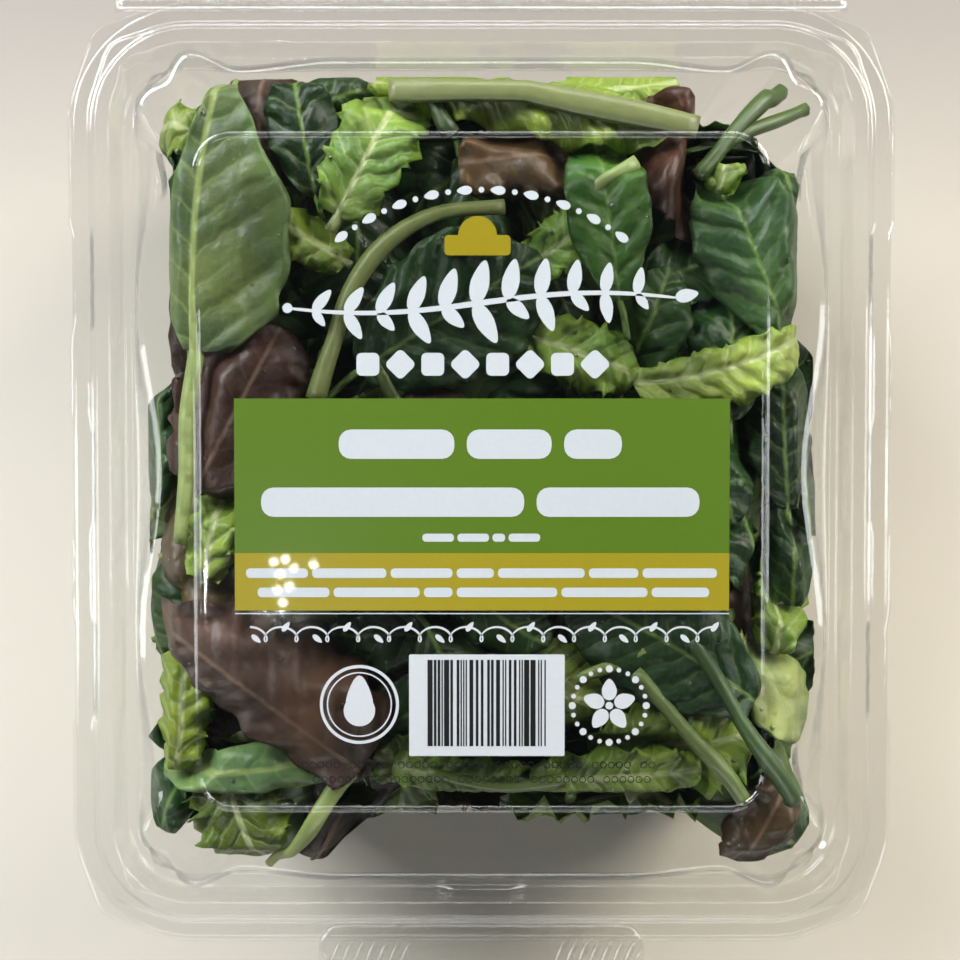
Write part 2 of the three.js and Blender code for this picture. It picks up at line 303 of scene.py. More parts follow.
@dataclass(frozen=True)
class PackFrame:
    """The few sizes that everything is worked out from, in millimetres."""

    half_width: float
    half_length: float
    centre_y: float
    flange_top: float
    plateau: float

    @classmethod
    def read(cls) -> "PackFrame":
        """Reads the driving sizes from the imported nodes."""
        tray, lid, label = (
            [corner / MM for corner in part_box(node)] for node in ("tray", "lid", "label")
        )
        centre_y = (label[0].y + label[1].y) / 2
        flange_top = tray[1].z - RIDGE_HEIGHT
        return cls(
            half_width=tray[1].x,
            half_length=tray[1].y - HINGE_REACH - centre_y,
            centre_y=centre_y,
            flange_top=flange_top,
            plateau=lid[1].z,
        )

    def inside(self, inset: float, z: float, wave: float = 0.0, radius: float = 0.0) -> "Ring":
        """Gives the ring that lies inside the flange's edge.

        Args:
            inset: How far inside.
            z: Its height.
            wave: The share of the lid's wavy edge that it takes.
            radius: Its corner radius, or none to follow the flange's corners.

        Returns:
            The ring.
        """
        corner = radius or FLANGE_RADIUS - inset
        return Ring(self.half_width - inset, self.half_length - inset, corner, z, wave)


@dataclass(frozen=True)
class Ring:
    """A rounded rectangle at one height of a formed sheet."""

    half_width: float
    half_length: float
    radius: float
    z: float
    wave: float = 0.0
    shift: float = 0.0

    def row(self) -> Array:
        """Lists the ring's six numbers."""
        return np.array([self.half_width, self.half_length, self.radius, self.z, self.wave, self.shift])


def rounded_profile(rings: Sequence[Ring], fillet: float, span: float) -> Array:
    """Rounds the corners of a profile and divides its straight stretches.

    Args:
        rings: The profile's corners, in order.
        fillet: How far from each corner its rounding starts.
        span: The longest step along a straight stretch.

    Returns:
        One row of six numbers for each ring.
    """
    keys = [ring.row() for ring in rings]
    plane = [0, 3]
    path = [keys[0]]
    for before, here, after in zip(keys, keys[1:], keys[2:]):
        reach = [np.linalg.norm((other - here)[plane]) for other in (before, after)]
        start = here + (before - here) * min(fillet / reach[0], 0.45)
        end = here + (after - here) * min(fillet / reach[1], 0.45)
        for t in np.linspace(0.0, 1.0, 5):
            path.append((1 - t) ** 2 * start + 2 * t * (1 - t) * here + t**2 * end)
    path.append(keys[-1])
    rows = [path[0]]
    for start, end in zip(path, path[1:]):
        steps = max(1, math.ceil(np.linalg.norm((end - start)[plane]) / span))
        rows += [start + (end - start) * i / steps for i in range(1, steps + 1)]
    return np.array(rows)


class Edge(Enum):
    """The four sides of the pack."""

    RIGHT = 0
    HINGE = 1
    LEFT = 2
    FRONT = 3


@dataclass(frozen=True)
class Stations:
    """The places round a ring at which a formed sheet has its points."""

    long_steps: int = 84
    short_steps: int = 72
    corner_steps: int = 14

    def table(self) -> Array:
        """Lists side x, side y, facing angle, bend and edge for each station."""
        corners = [(1, -1), (1, 1), (-1, 1), (-1, -1)]
        rows = []
        for edge in range(4):
            start, end = corners[edge], corners[(edge + 1) % 4]
            steps = self.long_steps if edge % 2 == 0 else self.short_steps
            turn = edge * math.pi / 2
            for i in range(steps):
                t = i / steps
                sx, sy = (s + (e - s) * t for s, e in zip(start, end))
                rows.append((sx, sy, turn, 0.0, edge))
            for i in range(self.corner_steps):
                bend = i / self.corner_steps
                rows.append((*end, turn + bend * math.pi / 2, bend, edge))
        rows.append((*corners[0], 0.0, 0.0, 0))
        return np.array(rows)


@dataclass(frozen=True)
class WavyEdge:
    """The wave that runs round the lid's plateau and, weaker, down the tray's wall."""

    swing: float = 2.3
    lobe: float = 2.07
    pitch: float = 83.0
    end_dip: float = 63.0
    end_flat: float = 38.0
    notch: float = 4.5
    run_width: float = 75.2
    run_length: float = 93.5

    def at(self, table: Array) -> Array:
        """Says how far the edge stands out at each station.

        Args:
            table: The stations.

        Returns:
            The distances, outwards.
        """
        sx, sy, _, bend, edge = table.T
        x, y = np.abs(sx) * self.run_width, np.abs(sy) * self.run_length
        side = -self.swing * np.cos(TURN * np.minimum(y, self.pitch) / self.pitch)
        rise = smooth_step(self.pitch, self.run_length, y)
        side += (self.lobe - side) * rise
        end = -self.swing * smooth_step(self.end_flat, self.end_dip, x)
        rise = smooth_step(self.end_dip, self.run_width, x)
        end += (self.lobe - end) * rise
        corner = self.lobe - self.notch * np.sin(math.pi * bend) ** 2
        return np.where(bend > 0, corner, np.where(edge % 2 == 0, side, end))


@dataclass
class FormedSheet:
    """A sheet of clear plastic drawn over a mould, from its flange inwards."""

    pack: PackFrame
    stations: Stations = field(default_factory=Stations)
    edge: WavyEdge = field(default_factory=WavyEdge)
    thickness: float = 0.42

    def surface(self, profile: Array) -> Array:
        """Gives the points of the sheet's upper face.

        Args:
            profile: One row of six numbers for each ring.

        Returns:
            Rings by stations by 3.
        """
        table = self.stations.table()
        sx, sy, turn = table[:, 0], table[:, 1], table[:, 2]
        width, length, radius, z, wave, shift = (profile[:, i, None] for i in range(6))
        out = radius + wave * self.edge.at(table)
        x = (width - radius) * sx + out * np.cos(turn)
        y = (length - radius) * sy + out * np.sin(turn) + shift
        return np.stack([x, y, z + 0 * x], axis=-1)

    def facing(self) -> Array:
        """Gives the outward direction at each station."""
        turn = self.stations.table()[:, 2]
        return np.stack([np.cos(turn), np.sin(turn), 0 * turn], axis=-1)

    def build(self, points: Array, name: str, extras: Sequence[Array] = ()) -> Piece:
        """Skins the points and closes the middle of the sheet.

        Args:
            points: The upper face, rings by stations by 3.
            name: The piece's name.
            extras: Further sheets formed in one with it, such as a tab.

        Returns:
            The piece, with its wall thickness.
        """
        bm = bmesh.new()
        lift = np.array([0.0, self.pack.centre_y, 0.0])
        lay_grid(bm, (points + lift)[::-1])
        reach = np.abs(points[-1, :, 0]).max() * MM + 1e-5
        merge_seams(bm)
        fill_holes(bm, lambda p: abs(p.x) < reach and abs(p.y - lift[1] * MM) < reach * 1.25)
        for extra in extras:
            lay_grid(bm, extra + lift)
        merge_seams(bm)
        bmesh.ops.recalc_face_normals(bm, faces=bm.faces[:])
        ups = sum(face.normal.z * face.calc_area() for face in bm.faces)
        if ups < 0:
            bmesh.ops.reverse_faces(bm, faces=bm.faces[:])
        piece = to_object(bm, name)
        thicken(piece, self.thickness)
        return piece


def bump(value: Array, half: float, ease: float) -> Array:
    """Is 1 inside plus or minus half and falls to 0 over ease beyond it."""
    return 1.0 - smooth_step(half, half + ease, np.abs(value))


# ---- Tray and lid ----
@dataclass
class LiftTab:
    """The tab that is gripped to open the pack, with its two ribbed pads."""

    half_width: float = 44.0
    overlap: float = 4.0
    radius: float = 5.5
    pad_at: float = 30.5
    pad_half: float = 9.5
    ribs: int = 7
    # Inset from the tab's edge and height over the flange.
    lip: tuple[Pair, ...] = ((0.0, -0.15), (0.35, 0.1), (0.8, 0.35), (1.4, 0.4), (2.6, 0.4), (4.4, 0.4))

    def sheet(self, pack: PackFrame, reach: float, z: float, lean: float) -> list[Array]:
        """Forms the tab and its ribs.

        Args:
            pack: The pack's sizes.
            reach: How far it stands past the flange.
            z: The flange's upper face there.
            lean: Whether it stands above (1) or below (-1) the flange.

        Returns:
            The sheets, each rows by columns by 3.
        """
        low, high = -pack.half_length - reach, -pack.half_length + self.overlap
        middle, half = (low + high) / 2, (high - low) / 2
        rows = []
        for inset, rise in self.lip:
            ring = self.outline(self.half_width - inset, half - inset, self.radius - inset)
            level = np.full(len(ring), z + lean * rise)
            rows.append(np.column_stack([ring[:, 0], ring[:, 1] + middle, level]))
        rows.append(np.column_stack([rows[-1][:, 0] * 0.93, 0 * rows[-1][:, 1] + middle, rows[-1][:, 2]]))
        return [np.array(rows)[::-1], *self.pads(middle, half, z + 0.4 * lean + 0.05)]

    def outline(self, half_width: float, half_length: float, radius: float) -> Array:
        """Lists the points of a rounded rectangle, closed on itself."""
        table = Stations(6, 24, 6).table()
        radius = max(radius, 0.6)
        x = (half_width - radius) * table[:, 0] + radius * np.cos(table[:, 2])
        y = (half_length - radius) * table[:, 1] + radius * np.sin(table[:, 2])
        return np.column_stack([x, y])

    def pads(self, middle: float, half: float, z: float) -> list[Array]:
        """Forms the slanting grip ribs, each a small half-round bar."""
        bars = []
        for side in (-1, 1):
            for i in range(self.ribs):
                along = side * self.pad_at + (i / (self.ribs - 1) * 2 - 1) * self.pad_half
                t = np.linspace(-1, 1, 9)
                spine = np.column_stack([along + 1.6 * t, middle + (half - 3.4) * t - 0.6])
                swell = 0.55 * np.sqrt(np.maximum(1 - t**2, 0.0))
                angle = np.linspace(0, math.pi, 7)
                x = spine[:, 0, None] + swell[:, None] * np.cos(angle) * 1.1
                y = spine[:, 1, None] - 0.15 * swell[:, None] * np.cos(angle)
                rise = z + 0.8 * swell[:, None] * np.sin(angle)
                bars.append(np.stack([x, y, rise], axis=-1))
        return bars


@dataclass
class Tray(FormedSheet):
    """The base: flange, ridge, ledge, fluted wall with its lugs, and ribbed floor."""

    # Inset from the flange's edge and height over its top, down to the ledge.
    rim: tuple[Pair, ...] = (
        (0.0, -0.9), (0.5, 0.0), (5.8, 0.0), (7.0, RIDGE_HEIGHT),
        (11.2, RIDGE_HEIGHT), (12.4, -6.5), (15.0, -7.2),
    )
    # Inset, height over the flange's top and share of the lid's wave.
    wall: tuple[Floats, ...] = ((19.0, -38.0, 0.6), (22.5, -70.0, 0.8))
    wall_radius: float = 15.0
    # Inset, height over the pack's foot and share of the lid's wave.
    floor: tuple[Floats, ...] = (
        (27.5, 0.0, 0.3), (36.0, 0.0, 0.0), (38.0, 1.2, 0.0), (48.0, 1.2, 0.0), (49.5, 2.4, 0.0)
    )
    floor_radius: float = 12.0
    foot: float = 0.6
    lug_at: float = 85.5
    lug_depth: float = 2.6
    shoulder_depth: float = 1.7
    panel_depth: float = 1.3
    rib_places: Floats = (-34.5, 34.5, 50.0, -50.0)
    rib_depth: float = 0.9
    tab_reach: float = 8.0

    def profile(self) -> Array:
        """Runs from the flange's edge down to the floor."""
        top, inside = self.pack.flange_top, self.pack.inside
        rings = [inside(inset, top + rise) for inset, rise in self.rim]
        rings += [inside(inset, top + rise, wave, self.wall_radius) for inset, rise, wave in self.wall]
        low = self.foot
        rings += [inside(inset, low + rise, wave, self.floor_radius) for inset, rise, wave in self.floor]
        return rounded_profile(rings, 0.8, 3.4)

    def detail(self, points: Array) -> Array:
        """Presses the lugs, the front's shoulder and its inset panel into the wall."""
        table = self.stations.table()
        edge = table[:, 4]
        x, y, z = points[..., 0], points[..., 1], points[..., 2]
        depth = self.pack.flange_top - z
        inward = np.zeros_like(x)
        long_side = (edge % 2 == 0) & (table[:, 3] == 0)
        on_wall = smooth_step(8.0, 10.0, depth) * (1 - smooth_step(24.0, 27.0, depth))
        lug = bump(np.abs(y) - self.lug_at, 5.5, 2.5) * on_wall
        inward += np.where(long_side, self.lug_depth * lug, 0.0)
        front = (edge == Edge.FRONT.value) & (table[:, 3] == 0)
        dips = 6.0 * bump(np.abs(x) - 26.0, 1.0, 5.0)
        shoulder = smooth_step(28.0, 30.5, depth - dips) * (1 - smooth_step(60.0, 72.0, depth))
        fade = bump(x, 62.0, 14.0)
        inward += np.where(front, self.shoulder_depth * shoulder * fade, 0.0)
        panel = bump(x, 19.0, 2.0) * bump(depth - 21.0, 7.0, 2.0)
        inward += np.where(front, self.panel_depth * panel, 0.0)
        ribs = sum(bump(x - at, 0.5, 1.1) for at in self.rib_places)
        inward += np.where(front, self.rib_depth * ribs * bump(depth - 34.0, 22.0, 4.0), 0.0)
        return points - inward[..., None] * self.facing()

    def make(self) -> Piece:
        """Builds the tray."""
        points = self.detail(self.surface(self.profile()))
        tab = LiftTab().sheet(self.pack, self.tab_reach, self.pack.flange_top - self.thickness, -1.0)
        return self.build(points, "tray_shell", tab[:1])


@dataclass
class Lid(FormedSheet):
    """The lid: flange, ridge, snap groove with its dents, and the wavy dome."""

    fit: float = 1.0
    # Inset from the flange's edge and height over its top.
    rim: tuple[Pair, ...] = ((0.0, 0.55), (0.7, 0.0), (5.0, 0.0), (6.4, RIDGE_HEIGHT), (11.7, RIDGE_HEIGHT))
    plug_depth: float = 4.0
    plug_inset: float = 13.0
    groove_inset: float = 16.5
    plateau_inset: float = 23.3
    plateau_end_inset: float = 19.6
    plateau_shift: float = 1.4
    plateau_radius: float = 12.0
    shoulder: float = 1.8
    panel_width: float = 73.3
    panel_length: float = 87.1
    panel_shift: float = 0.85
    panel_radius: float = 9.0
    panel_depth: float = 1.0
    bead: float = 0.55
    dent_places: Floats = (-52.0, 0.0, 52.0)
    dent_depth: float = 0.9
    boss_reach: float = 2.4
    catch_rise: float = 2.2
    flute_pitch: float = 7.2
    flute_depth: float = 0.10
    tab_reach: float = 12.0

    def profile(self) -> Array:
        """Runs from the flange's edge over the dome to the label panel."""
        pack = self.pack
        top, crown = pack.flange_top + self.fit, pack.plateau
        inside = pack.inside
        bottom = pack.flange_top - self.plug_depth
        width = pack.half_width - self.plateau_inset
        length = pack.half_length - self.plateau_end_inset
        panel = (self.panel_width, self.panel_length, self.panel_radius)
        rings = [inside(inset, top + rise) for inset, rise in self.rim]
        rings += [
            inside(self.plug_inset, bottom),
            inside(self.groove_inset, bottom, 0.2),
            Ring(width, length, self.plateau_radius, crown - self.shoulder, 1.0, self.plateau_shift),
            Ring(width - self.shoulder, length - self.shoulder, self.plateau_radius - 0.9,
                 crown - self.bead, 1.0, self.plateau_shift),
        ]
        low = self.panel_depth
        for grow, drop in ((0.9, self.bead), (0.45, 0.0), (0.0, 0.0), (-0.6, low), (-5.0, low)):
            rings.append(Ring(*(size + grow for size in panel), crown - drop, 0.0, self.panel_shift))
        return rounded_profile(rings, 0.6, 3.4)

    def detail(self, points: Array) -> Array:
        """Presses the snap dents, the corner bosses and the front's catch into the lid."""
        table = self.stations.table()
        edge, bend = table[:, 4], table[:, 3]
        x, y, z = points[..., 0], points[..., 1], points[..., 2]
        rise = z - self.pack.flange_top
        out = self.facing()
        shift = np.zeros_like(x)
        inset = self.pack.half_width - np.abs(x)
        plug = bump(rise - 0.6, 1.6, 1.6) * (1 - smooth_step(13.6, 15.0, inset))
        dents = sum(bump(y - at, 12.5, 2.0) for at in self.dent_places)
        shift -= np.where(edge % 2 == 0, self.dent_depth * dents * plug, 0.0)
        wall = bump(rise - 6.5, 8.0, 3.0)
        boss = np.exp(-(((bend - 0.5) / 0.13) ** 2)) * (bend > 0)
        shift += self.boss_reach * boss * bump(rise - 3.0, 3.0, 4.0)
        front = (edge == Edge.FRONT.value) & (bend == 0)
        ends = self.pack.half_length - np.abs(y)
        catch = bump(x, 9.0, 3.0) * bump(ends - 15.0, 3.5, 1.5) * (rise < 2.0)
        moved = points + shift[..., None] * out
        moved[..., 2] += np.where(front, self.catch_rise * catch, 0.0)
        flute = np.cos(TURN * y / self.flute_pitch) * (np.abs(y) < 90)
        moved -= (np.where(edge % 2 == 0, self.flute_depth * flute, 0.0) * wall)[..., None] * out
        return moved

    def make(self) -> Piece:
        """Builds the lid."""
        points = self.detail(self.surface(self.profile()))
        tab = LiftTab().sheet(self.pack, self.tab_reach, self.pack.flange_top + self.fit, 1.0)
        return self.build(points, "lid_shell", tab)


@dataclass
class HingeFilm:
    """The folded strip of film that joins the tray to the lid."""

    pack: PackFrame
    half_width: float = 98.0
    overlap: float = 2.2
    fold: float = 0.42
    thickness: float = 0.3

    def make(self) -> Piece:
        """Builds the strip as one sheet round the hinge's axis."""
        pack = self.pack
        edge = pack.centre_y + pack.half_length
        low, high = pack.flange_top - 0.1, pack.flange_top + 1.05
        axis = (low + high) / 2
        reach = pack.half_length + pack.centre_y + HINGE_REACH - 0.35
        path = [(edge - self.overlap, low), (edge - 0.3, low)]
        for angle in np.linspace(-math.pi / 2, math.pi / 2, 11):
            path.append((reach - 0.3 + self.fold * math.cos(angle), axis + (high - axis) * math.sin(angle)))
        path += [(edge - 0.3, high), (edge - self.overlap, high)]
        x = np.linspace(-1, 1, 81) * self.half_width
        ripple = 0.06 * np.cos(x * 0.9) + 0.05 * np.cos(x * 0.31)
        level = np.ones_like(x)
        rows = [np.column_stack([x, y * level + ripple * (y > edge), z * level]) for y, z in path]
        bm = bmesh.new()
        lay_grid(bm, np.array(rows))
        bmesh.ops.recalc_face_normals(bm, faces=bm.faces[:])
        outward = sum(face.normal.z * (face.calc_center_median().z - axis * MM) for face in bm.faces)
        if outward < 0:
            bmesh.ops.reverse_faces(bm, faces=bm.faces[:])
        bmesh.ops.solidify(bm, geom=bm.faces[:], thickness=self.thickness * MM)
        piece = to_object(bm, "hinge_film")
        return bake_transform(piece)


# ---- Clear plastic ----
@dataclass(frozen=True)
class ClearPlastic:
    """Thin glossy sheet: clear face on, greyer and brighter where it is seen edge on."""

    name: str = "clear_plastic"
    index: float = 1.46
    face_tint: Floats = (0.994, 0.995, 0.992, 1.0)
    edge_tint: Floats = (0.62, 0.64, 0.66, 1.0)
    edge_power: float = 9.0
    gloss_limit: float = 0.046
    edge_gloss: float = 0.3
    ripple: float = 0.16

    def make(self) -> Material:
        """Builds the material."""
        s = Shader(self.name)
        place_on = s.place()
        broad = s.noise(place_on, 55.0, 2.0)
        fine = s.noise(place_on, 420.0, 2.0)
        mixed = s.math("ADD", broad, s.scaled(fine, 0.12))
        normal = s.bump(mixed, self.ripple, 0.0009)
        facing = s.node("LayerWeight", {"Blend": 0.5}).outputs["Facing"]
        grazing = s.math("POWER", facing, self.edge_power)
        tint = s.mix(grazing, self.face_tint, self.edge_tint)
        share = s.math("MINIMUM", s.node("Fresnel", {"IOR": self.index}).outputs[0], self.gloss_limit)
        share = s.math("ADD", share, s.scaled(grazing, self.edge_gloss))
        lit_ray = s.math("SUBTRACT", 1.0, s.node("LightPath").outputs["Is Shadow Ray"])
        return s.glaze(tint, s.scaled(share, lit_ray), 0.06, normal)


# ---- The label: a clear film with fields of colour and plain shapes ----
@dataclass(frozen=True)
class PrintedInk:
    """An even ink, with the faint grain of a printed film."""

    name: str
    colour: Floats
    roughness: float = 0.3

    def make(self) -> Material:
        """Builds the material."""
        s = Shader(self.name)
        grain = s.noise(s.place(), 900.0, 2.0)
        cloud = s.noise(s.place(), 14.0, 2.0)
        darker = tuple(0.86 * c for c in self.colour[:3]) + (1.0,)
        base = s.mix(s.scaled(s.math("ADD", grain, cloud), 0.5), self.colour, darker)
        surface = s.coat(base, self.roughness, s.bump(grain, 0.08, 0.0002))
        surface.inputs["Coat Weight"].default_value = 0.3
        return s.finish(surface.outputs[0])


class ClearFilm:
    """The unprinted film: clear, with a slight sheen."""

    def make(self) -> Material:
        """Builds the material."""
        s = Shader("label_film")
        bumped = s.bump(s.noise(s.place(), 60.0, 2.0), 0.08, 0.0006)
        share = s.scaled(s.node("Fresnel", {"IOR": 1.45, "Normal": bumped}).outputs[0], 0.5)
        return s.glaze((0.99, 0.992, 0.988, 1.0), share, 0.05, bumped)


class Ink(Enum):
    """The inks, with how far each lies over the film, in millimetres."""

    GREEN = 0.02
    MUSTARD = 0.021
    GOLD = 0.022
    WHITE = 0.07
    PALE = 0.071
    DARK = 0.12


INKS: dict[Ink, PrintedInk] = {
    Ink.GREEN: PrintedInk("ink_green", srgb(88, 118, 28)),
    Ink.MUSTARD: PrintedInk("ink_mustard", srgb(160, 146, 32)),
    Ink.GOLD: PrintedInk("ink_gold", srgb(155, 139, 24)),
    Ink.WHITE: PrintedInk("ink_white", srgb(212, 216, 220)),
    Ink.PALE: PrintedInk("ink_pale", srgb(204, 211, 215)),
    Ink.DARK: PrintedInk("ink_dark", srgb(26, 28, 28)),
}


class InkLayer:
    """The shapes of one ink, in millimetres from the label's middle."""

    hair = 0.002

    def __init__(self) -> None:
        """Starts an empty layer."""
        self.bm = bmesh.new()
        self.shapes = 0

    def put(self, verts: list, at: Pair, turn: float = 0.0) -> None:
        """Turns new vertices about the origin and moves them to their place, a hair over the last shape."""
        bmesh.ops.rotate(self.bm, verts=verts, cent=(0, 0, 0), matrix=Matrix.Rotation(turn, 3, "Z"))
        bmesh.ops.translate(self.bm, verts=verts, vec=(*at, self.hair * (self.shapes % 8)))
        self.shapes += 1

    def bar(
        self, at: Pair, size: Pair, radius: float = 0.0, turn: float = 0.0
    ) -> None:
        """Adds a bar with round corners.

        Args:
            at: Its middle.
            size: Its length and height.
            radius: Its corner radius.
            turn: Its heading in radians.
        """
        made = bmesh.ops.create_grid(self.bm, x_segments=1, y_segments=1, size=0.5)["verts"]
        bmesh.ops.scale(self.bm, verts=made, vec=(*size, 1.0))
        if radius:
            offset = min(radius, 0.499 * min(size))
            made = bmesh.ops.bevel(
                self.bm, geom=made, offset=offset, segments=4, profile=0.5, affect="VERTICES", material=-1
            )["verts"]
        self.put(made, at, turn)

    def disc(self, at: Pair, radius: float, segments: int = 32) -> None:
        """Adds a filled disc."""
        made = bmesh.ops.create_circle(self.bm, cap_ends=True, segments=segments, radius=radius)["verts"]
        self.put(made, at)

    def ring(self, at: Pair, radius: float, width: float, sides: int = 64) -> None:
        """Adds a plain ring."""
        angle = np.linspace(0, TURN, sides + 1)
        self.ribbon(np.column_stack([np.cos(angle), np.sin(angle)]) * radius + np.array(at), width)

    def leaf(self, at: Pair, length: float, width: float, turn: float) -> None:
        """Adds a pointed leaf that grows from its place in a heading."""
        made = bmesh.ops.create_circle(self.bm, cap_ends=True, segments=20, radius=1.0)["verts"]
        for vert in made:
            x, y = vert.co.x, vert.co.y
            slim = (1 - abs(x) ** 1.6) ** 0.5 * (1 - 0.25 * x)
            vert.co = ((x + 1) * length / 2, math.copysign(slim * width / 2, y) if slim else 0.0, 0.0)
        self.put(made, at, turn)

    def ribbon(self, path: Array, width: float | Array) -> None:
        """Adds a ribbon along a path.

        Args:
            path: Its places.
            width: Its width, one for all or one for each place.
        """
        way = unit(np.gradient(path, axis=0))
        across = np.column_stack([-way[:, 1], way[:, 0]]) * (np.broadcast_to(width, len(path))[:, None] / 2)
        rows = [np.column_stack([path + side * across, np.zeros(len(path))]) for side in (-1, 1)]
        lay_grid(self.bm, np.array(rows) / MM)
        if np.allclose(path[0], path[-1]):
            merge_seams(self.bm, 1e-5)


@dataclass
class LabelSheet:
    """The film on the lid's panel and its print."""

    pack: PackFrame
    half_width: float = 64.5
    half_length: float = 80.0
    film_radius: float = 6.0
    film_thickness: float = 0.16
    bead_pitch: float = 2.1
    ink_thickness: float = 0.035
    layers: dict[Ink, InkLayer] = field(default_factory=lambda: {ink: InkLayer() for ink in Ink})

    def words(self, left: float, right: float, y: float, height: float, shares: Sequence[float]) -> None:
        """Prints a row of plain round-ended bars.

        Args:
            left: Where the row starts.
            right: Where it ends.
            y: Its middle height.
            height: The bars' height.
            shares: The bars' lengths, as shares of the row.
        """
        space = 0.42 * height
        room = right - left - space * (len(shares) - 1)
        at = left
        for share in shares:
            length = room * share / sum(shares)
            self.layers[Ink.PALE].bar((at + length / 2, y), (length, height), 0.42 * height)
            at += length + space

    def fields(self) -> None:
        """Prints the green and mustard fields and the line under them."""
        middle = 0.15
        self.layers[Ink.GREEN].bar((middle, 0.4), (128.1, 40.0))
        self.layers[Ink.MUSTARD].bar((middle, -27.05), (128.1, 14.9))
        self.layers[Ink.PALE].bar((middle, -35.3), (128.1, 0.28))

    def head(self) -> None:
        """Prints the arch of seeds, the rising sun and the broad sprig."""
        pale, gold = self.layers[Ink.PALE], self.layers[Ink.GOLD]
        count = 19
        for i in range(count):
            angle = math.radians(90 + 37 * (1 - 2 * i / (count - 1)))
            x, y = 60.0 * math.cos(angle), 14.0 + 60.0 * math.sin(angle)
            if i % 2:
                pale.disc((x, y), 0.75, 16)
            else:
                start = (x + 1.9 * math.sin(angle), y - 1.9 * math.cos(angle))
                pale.leaf(start, 3.9, 2.3, angle + math.pi / 2)
        gold.bar((-1.0, 59.8), (17.0, 5.2), 1.0)
        gold.disc((-1.0, 62.3), 5.0)
        self.sprig()
        for i in range(8):
            pale.bar((-29.3 + 8.37 * i, 29.2), (5.9, 5.9), 1.3, math.pi / 4 if i % 2 else 0.0)

    def sprig(self) -> None:
        """Prints a sprig that runs across the label, with paired leaves along it."""
        pale = self.layers[Ink.PALE]
        t = np.linspace(-1, 1, 61)
        stem = np.column_stack([50.0 * t, 45.0 + 2.6 * np.sin(2.6 * t)])
        pale.ribbon(stem, 0.5 + 1.0 * (1 - np.abs(t)) ** 0.5)
        for i in range(11):
            k = 4 + 5 * i
            way = math.atan2(*(stem[k + 1] - stem[k - 1])[::-1])
            size = 11.5 - 0.9 * abs(i - 5)
            for side in (-1, 1):
                if side > 0 or i % 2:
                    pale.leaf(tuple(stem[k]), size, 0.42 * size, way + side * (0.95 + 0.05 * i))
                else:
                    pale.leaf(tuple(stem[k]), 0.7 * size, 0.34 * size, way + side * 0.85)
        pale.leaf(tuple(stem[-1]), 6.0, 3.4, 0.2)
        pale.disc(tuple(stem[0]), 1.3, 20)

    def rows(self) -> None:
        """Prints the rows of bars in the two fields and the faint rows at the foot."""
        for left, right, y, height, shares in (
            (-36.9, 36.3, 8.6, 7.6, (3.0, 2.2, 1.5)),
            (-57.0, 56.4, -6.4, 7.6, (4.2, 2.6)),
            (-15.3, 15.2, -15.6, 2.1, (1, 1, 0.4, 1)),
            (-61.0, 61.0, -24.8, 2.5, (5, 6, 5, 3, 7, 4, 6)),
            (-58.0, 59.0, -29.8, 2.5, (5, 6, 2, 7, 6, 4)),
        ):
            self.words(left, right, y, height, shares)
        self.fine_print(-46.0, 48.0, -74.8, 6)
        self.fine_print(-43.0, 47.0, -78.6, 9)

    def fine_print(self, left: float, right: float, y: float, group: int) -> None:
        """Prints a faint row of small hollow beads, in groups."""
        for i in range(int((right - left) / self.bead_pitch)):
            if i % group != group - 1:
                self.layers[Ink.DARK].ring((left + i * self.bead_pitch, y), 0.8, 0.22, 14)

    def vine(self) -> None:
        """Prints a thin looping vine with small leaves."""
        white = self.layers[Ink.WHITE]
        t = np.linspace(0, 1, 361)
        loop = TURN * 15 * t
        path = np.column_stack([-60 + 120 * t + 1.9 * np.sin(loop), -40.7 + 1.9 * np.cos(loop)])
        white.ribbon(path, 0.34 + 0.22 * (1 + np.sin(loop + 0.8)) / 2)
        for i in range(16):
            x = -59.6 + 7.95 * i
            white.leaf((x, -40.9 + (i % 2)), 3.0, 1.4, 0.9 if i % 2 else -0.7)

    def emblems(self) -> None:
        """Prints the ring with a drop, and the dotted ring with petals."""
        white = self.layers[Ink.WHITE]
        left, right = (-31.7, -59.0), (33.2, -59.3)
        white.ring(left, 9.9, 0.8)
        white.ring(left, 8.3, 0.35)
        white.disc((left[0], left[1] - 1.6), 4.1)
        white.leaf((left[0], left[1] - 5.4), 13.0, 7.0, math.pi / 2)
        for i in range(24):
            angle = TURN * i / 24
            size = 0.62 if i % 3 else 0.95
            white.disc((right[0] + 9.6 * math.cos(angle), right[1] + 9.6 * math.sin(angle)), size, 12)
        for i in range(5):
            angle = TURN * i / 5 + math.pi / 2
            start = (right[0] + 1.4 * math.cos(angle), right[1] + 1.4 * math.sin(angle))
            white.leaf(start, 5.6, 3.9, angle)
        white.disc(right, 1.0, 16)

    def code(self) -> None:
        """Prints the white field with its plain dark stripes."""
        self.layers[Ink.WHITE].bar((1.4, -59.2), (40.4, 26.5), 0.4)
        rng = np.random.default_rng(31)
        at, end = -14.0, 17.0
        while at < end:
            width = float(rng.choice((0.33, 0.66, 0.99, 1.32), p=(0.45, 0.3, 0.15, 0.1)))
            self.layers[Ink.DARK].bar((at + width / 2, -58.6), (width, 22.5))
            at += width + float(rng.choice((0.33, 0.66, 0.99), p=(0.5, 0.35, 0.15)))

    def film(self) -> Piece:
        """Builds the clear film under the print."""
        layer = InkLayer()
        layer.bar((0.0, 0.0), (2 * self.half_width, 2 * self.half_length), self.film_radius)
        return self.lift(layer, "label_film", -0.02, self.film_thickness)

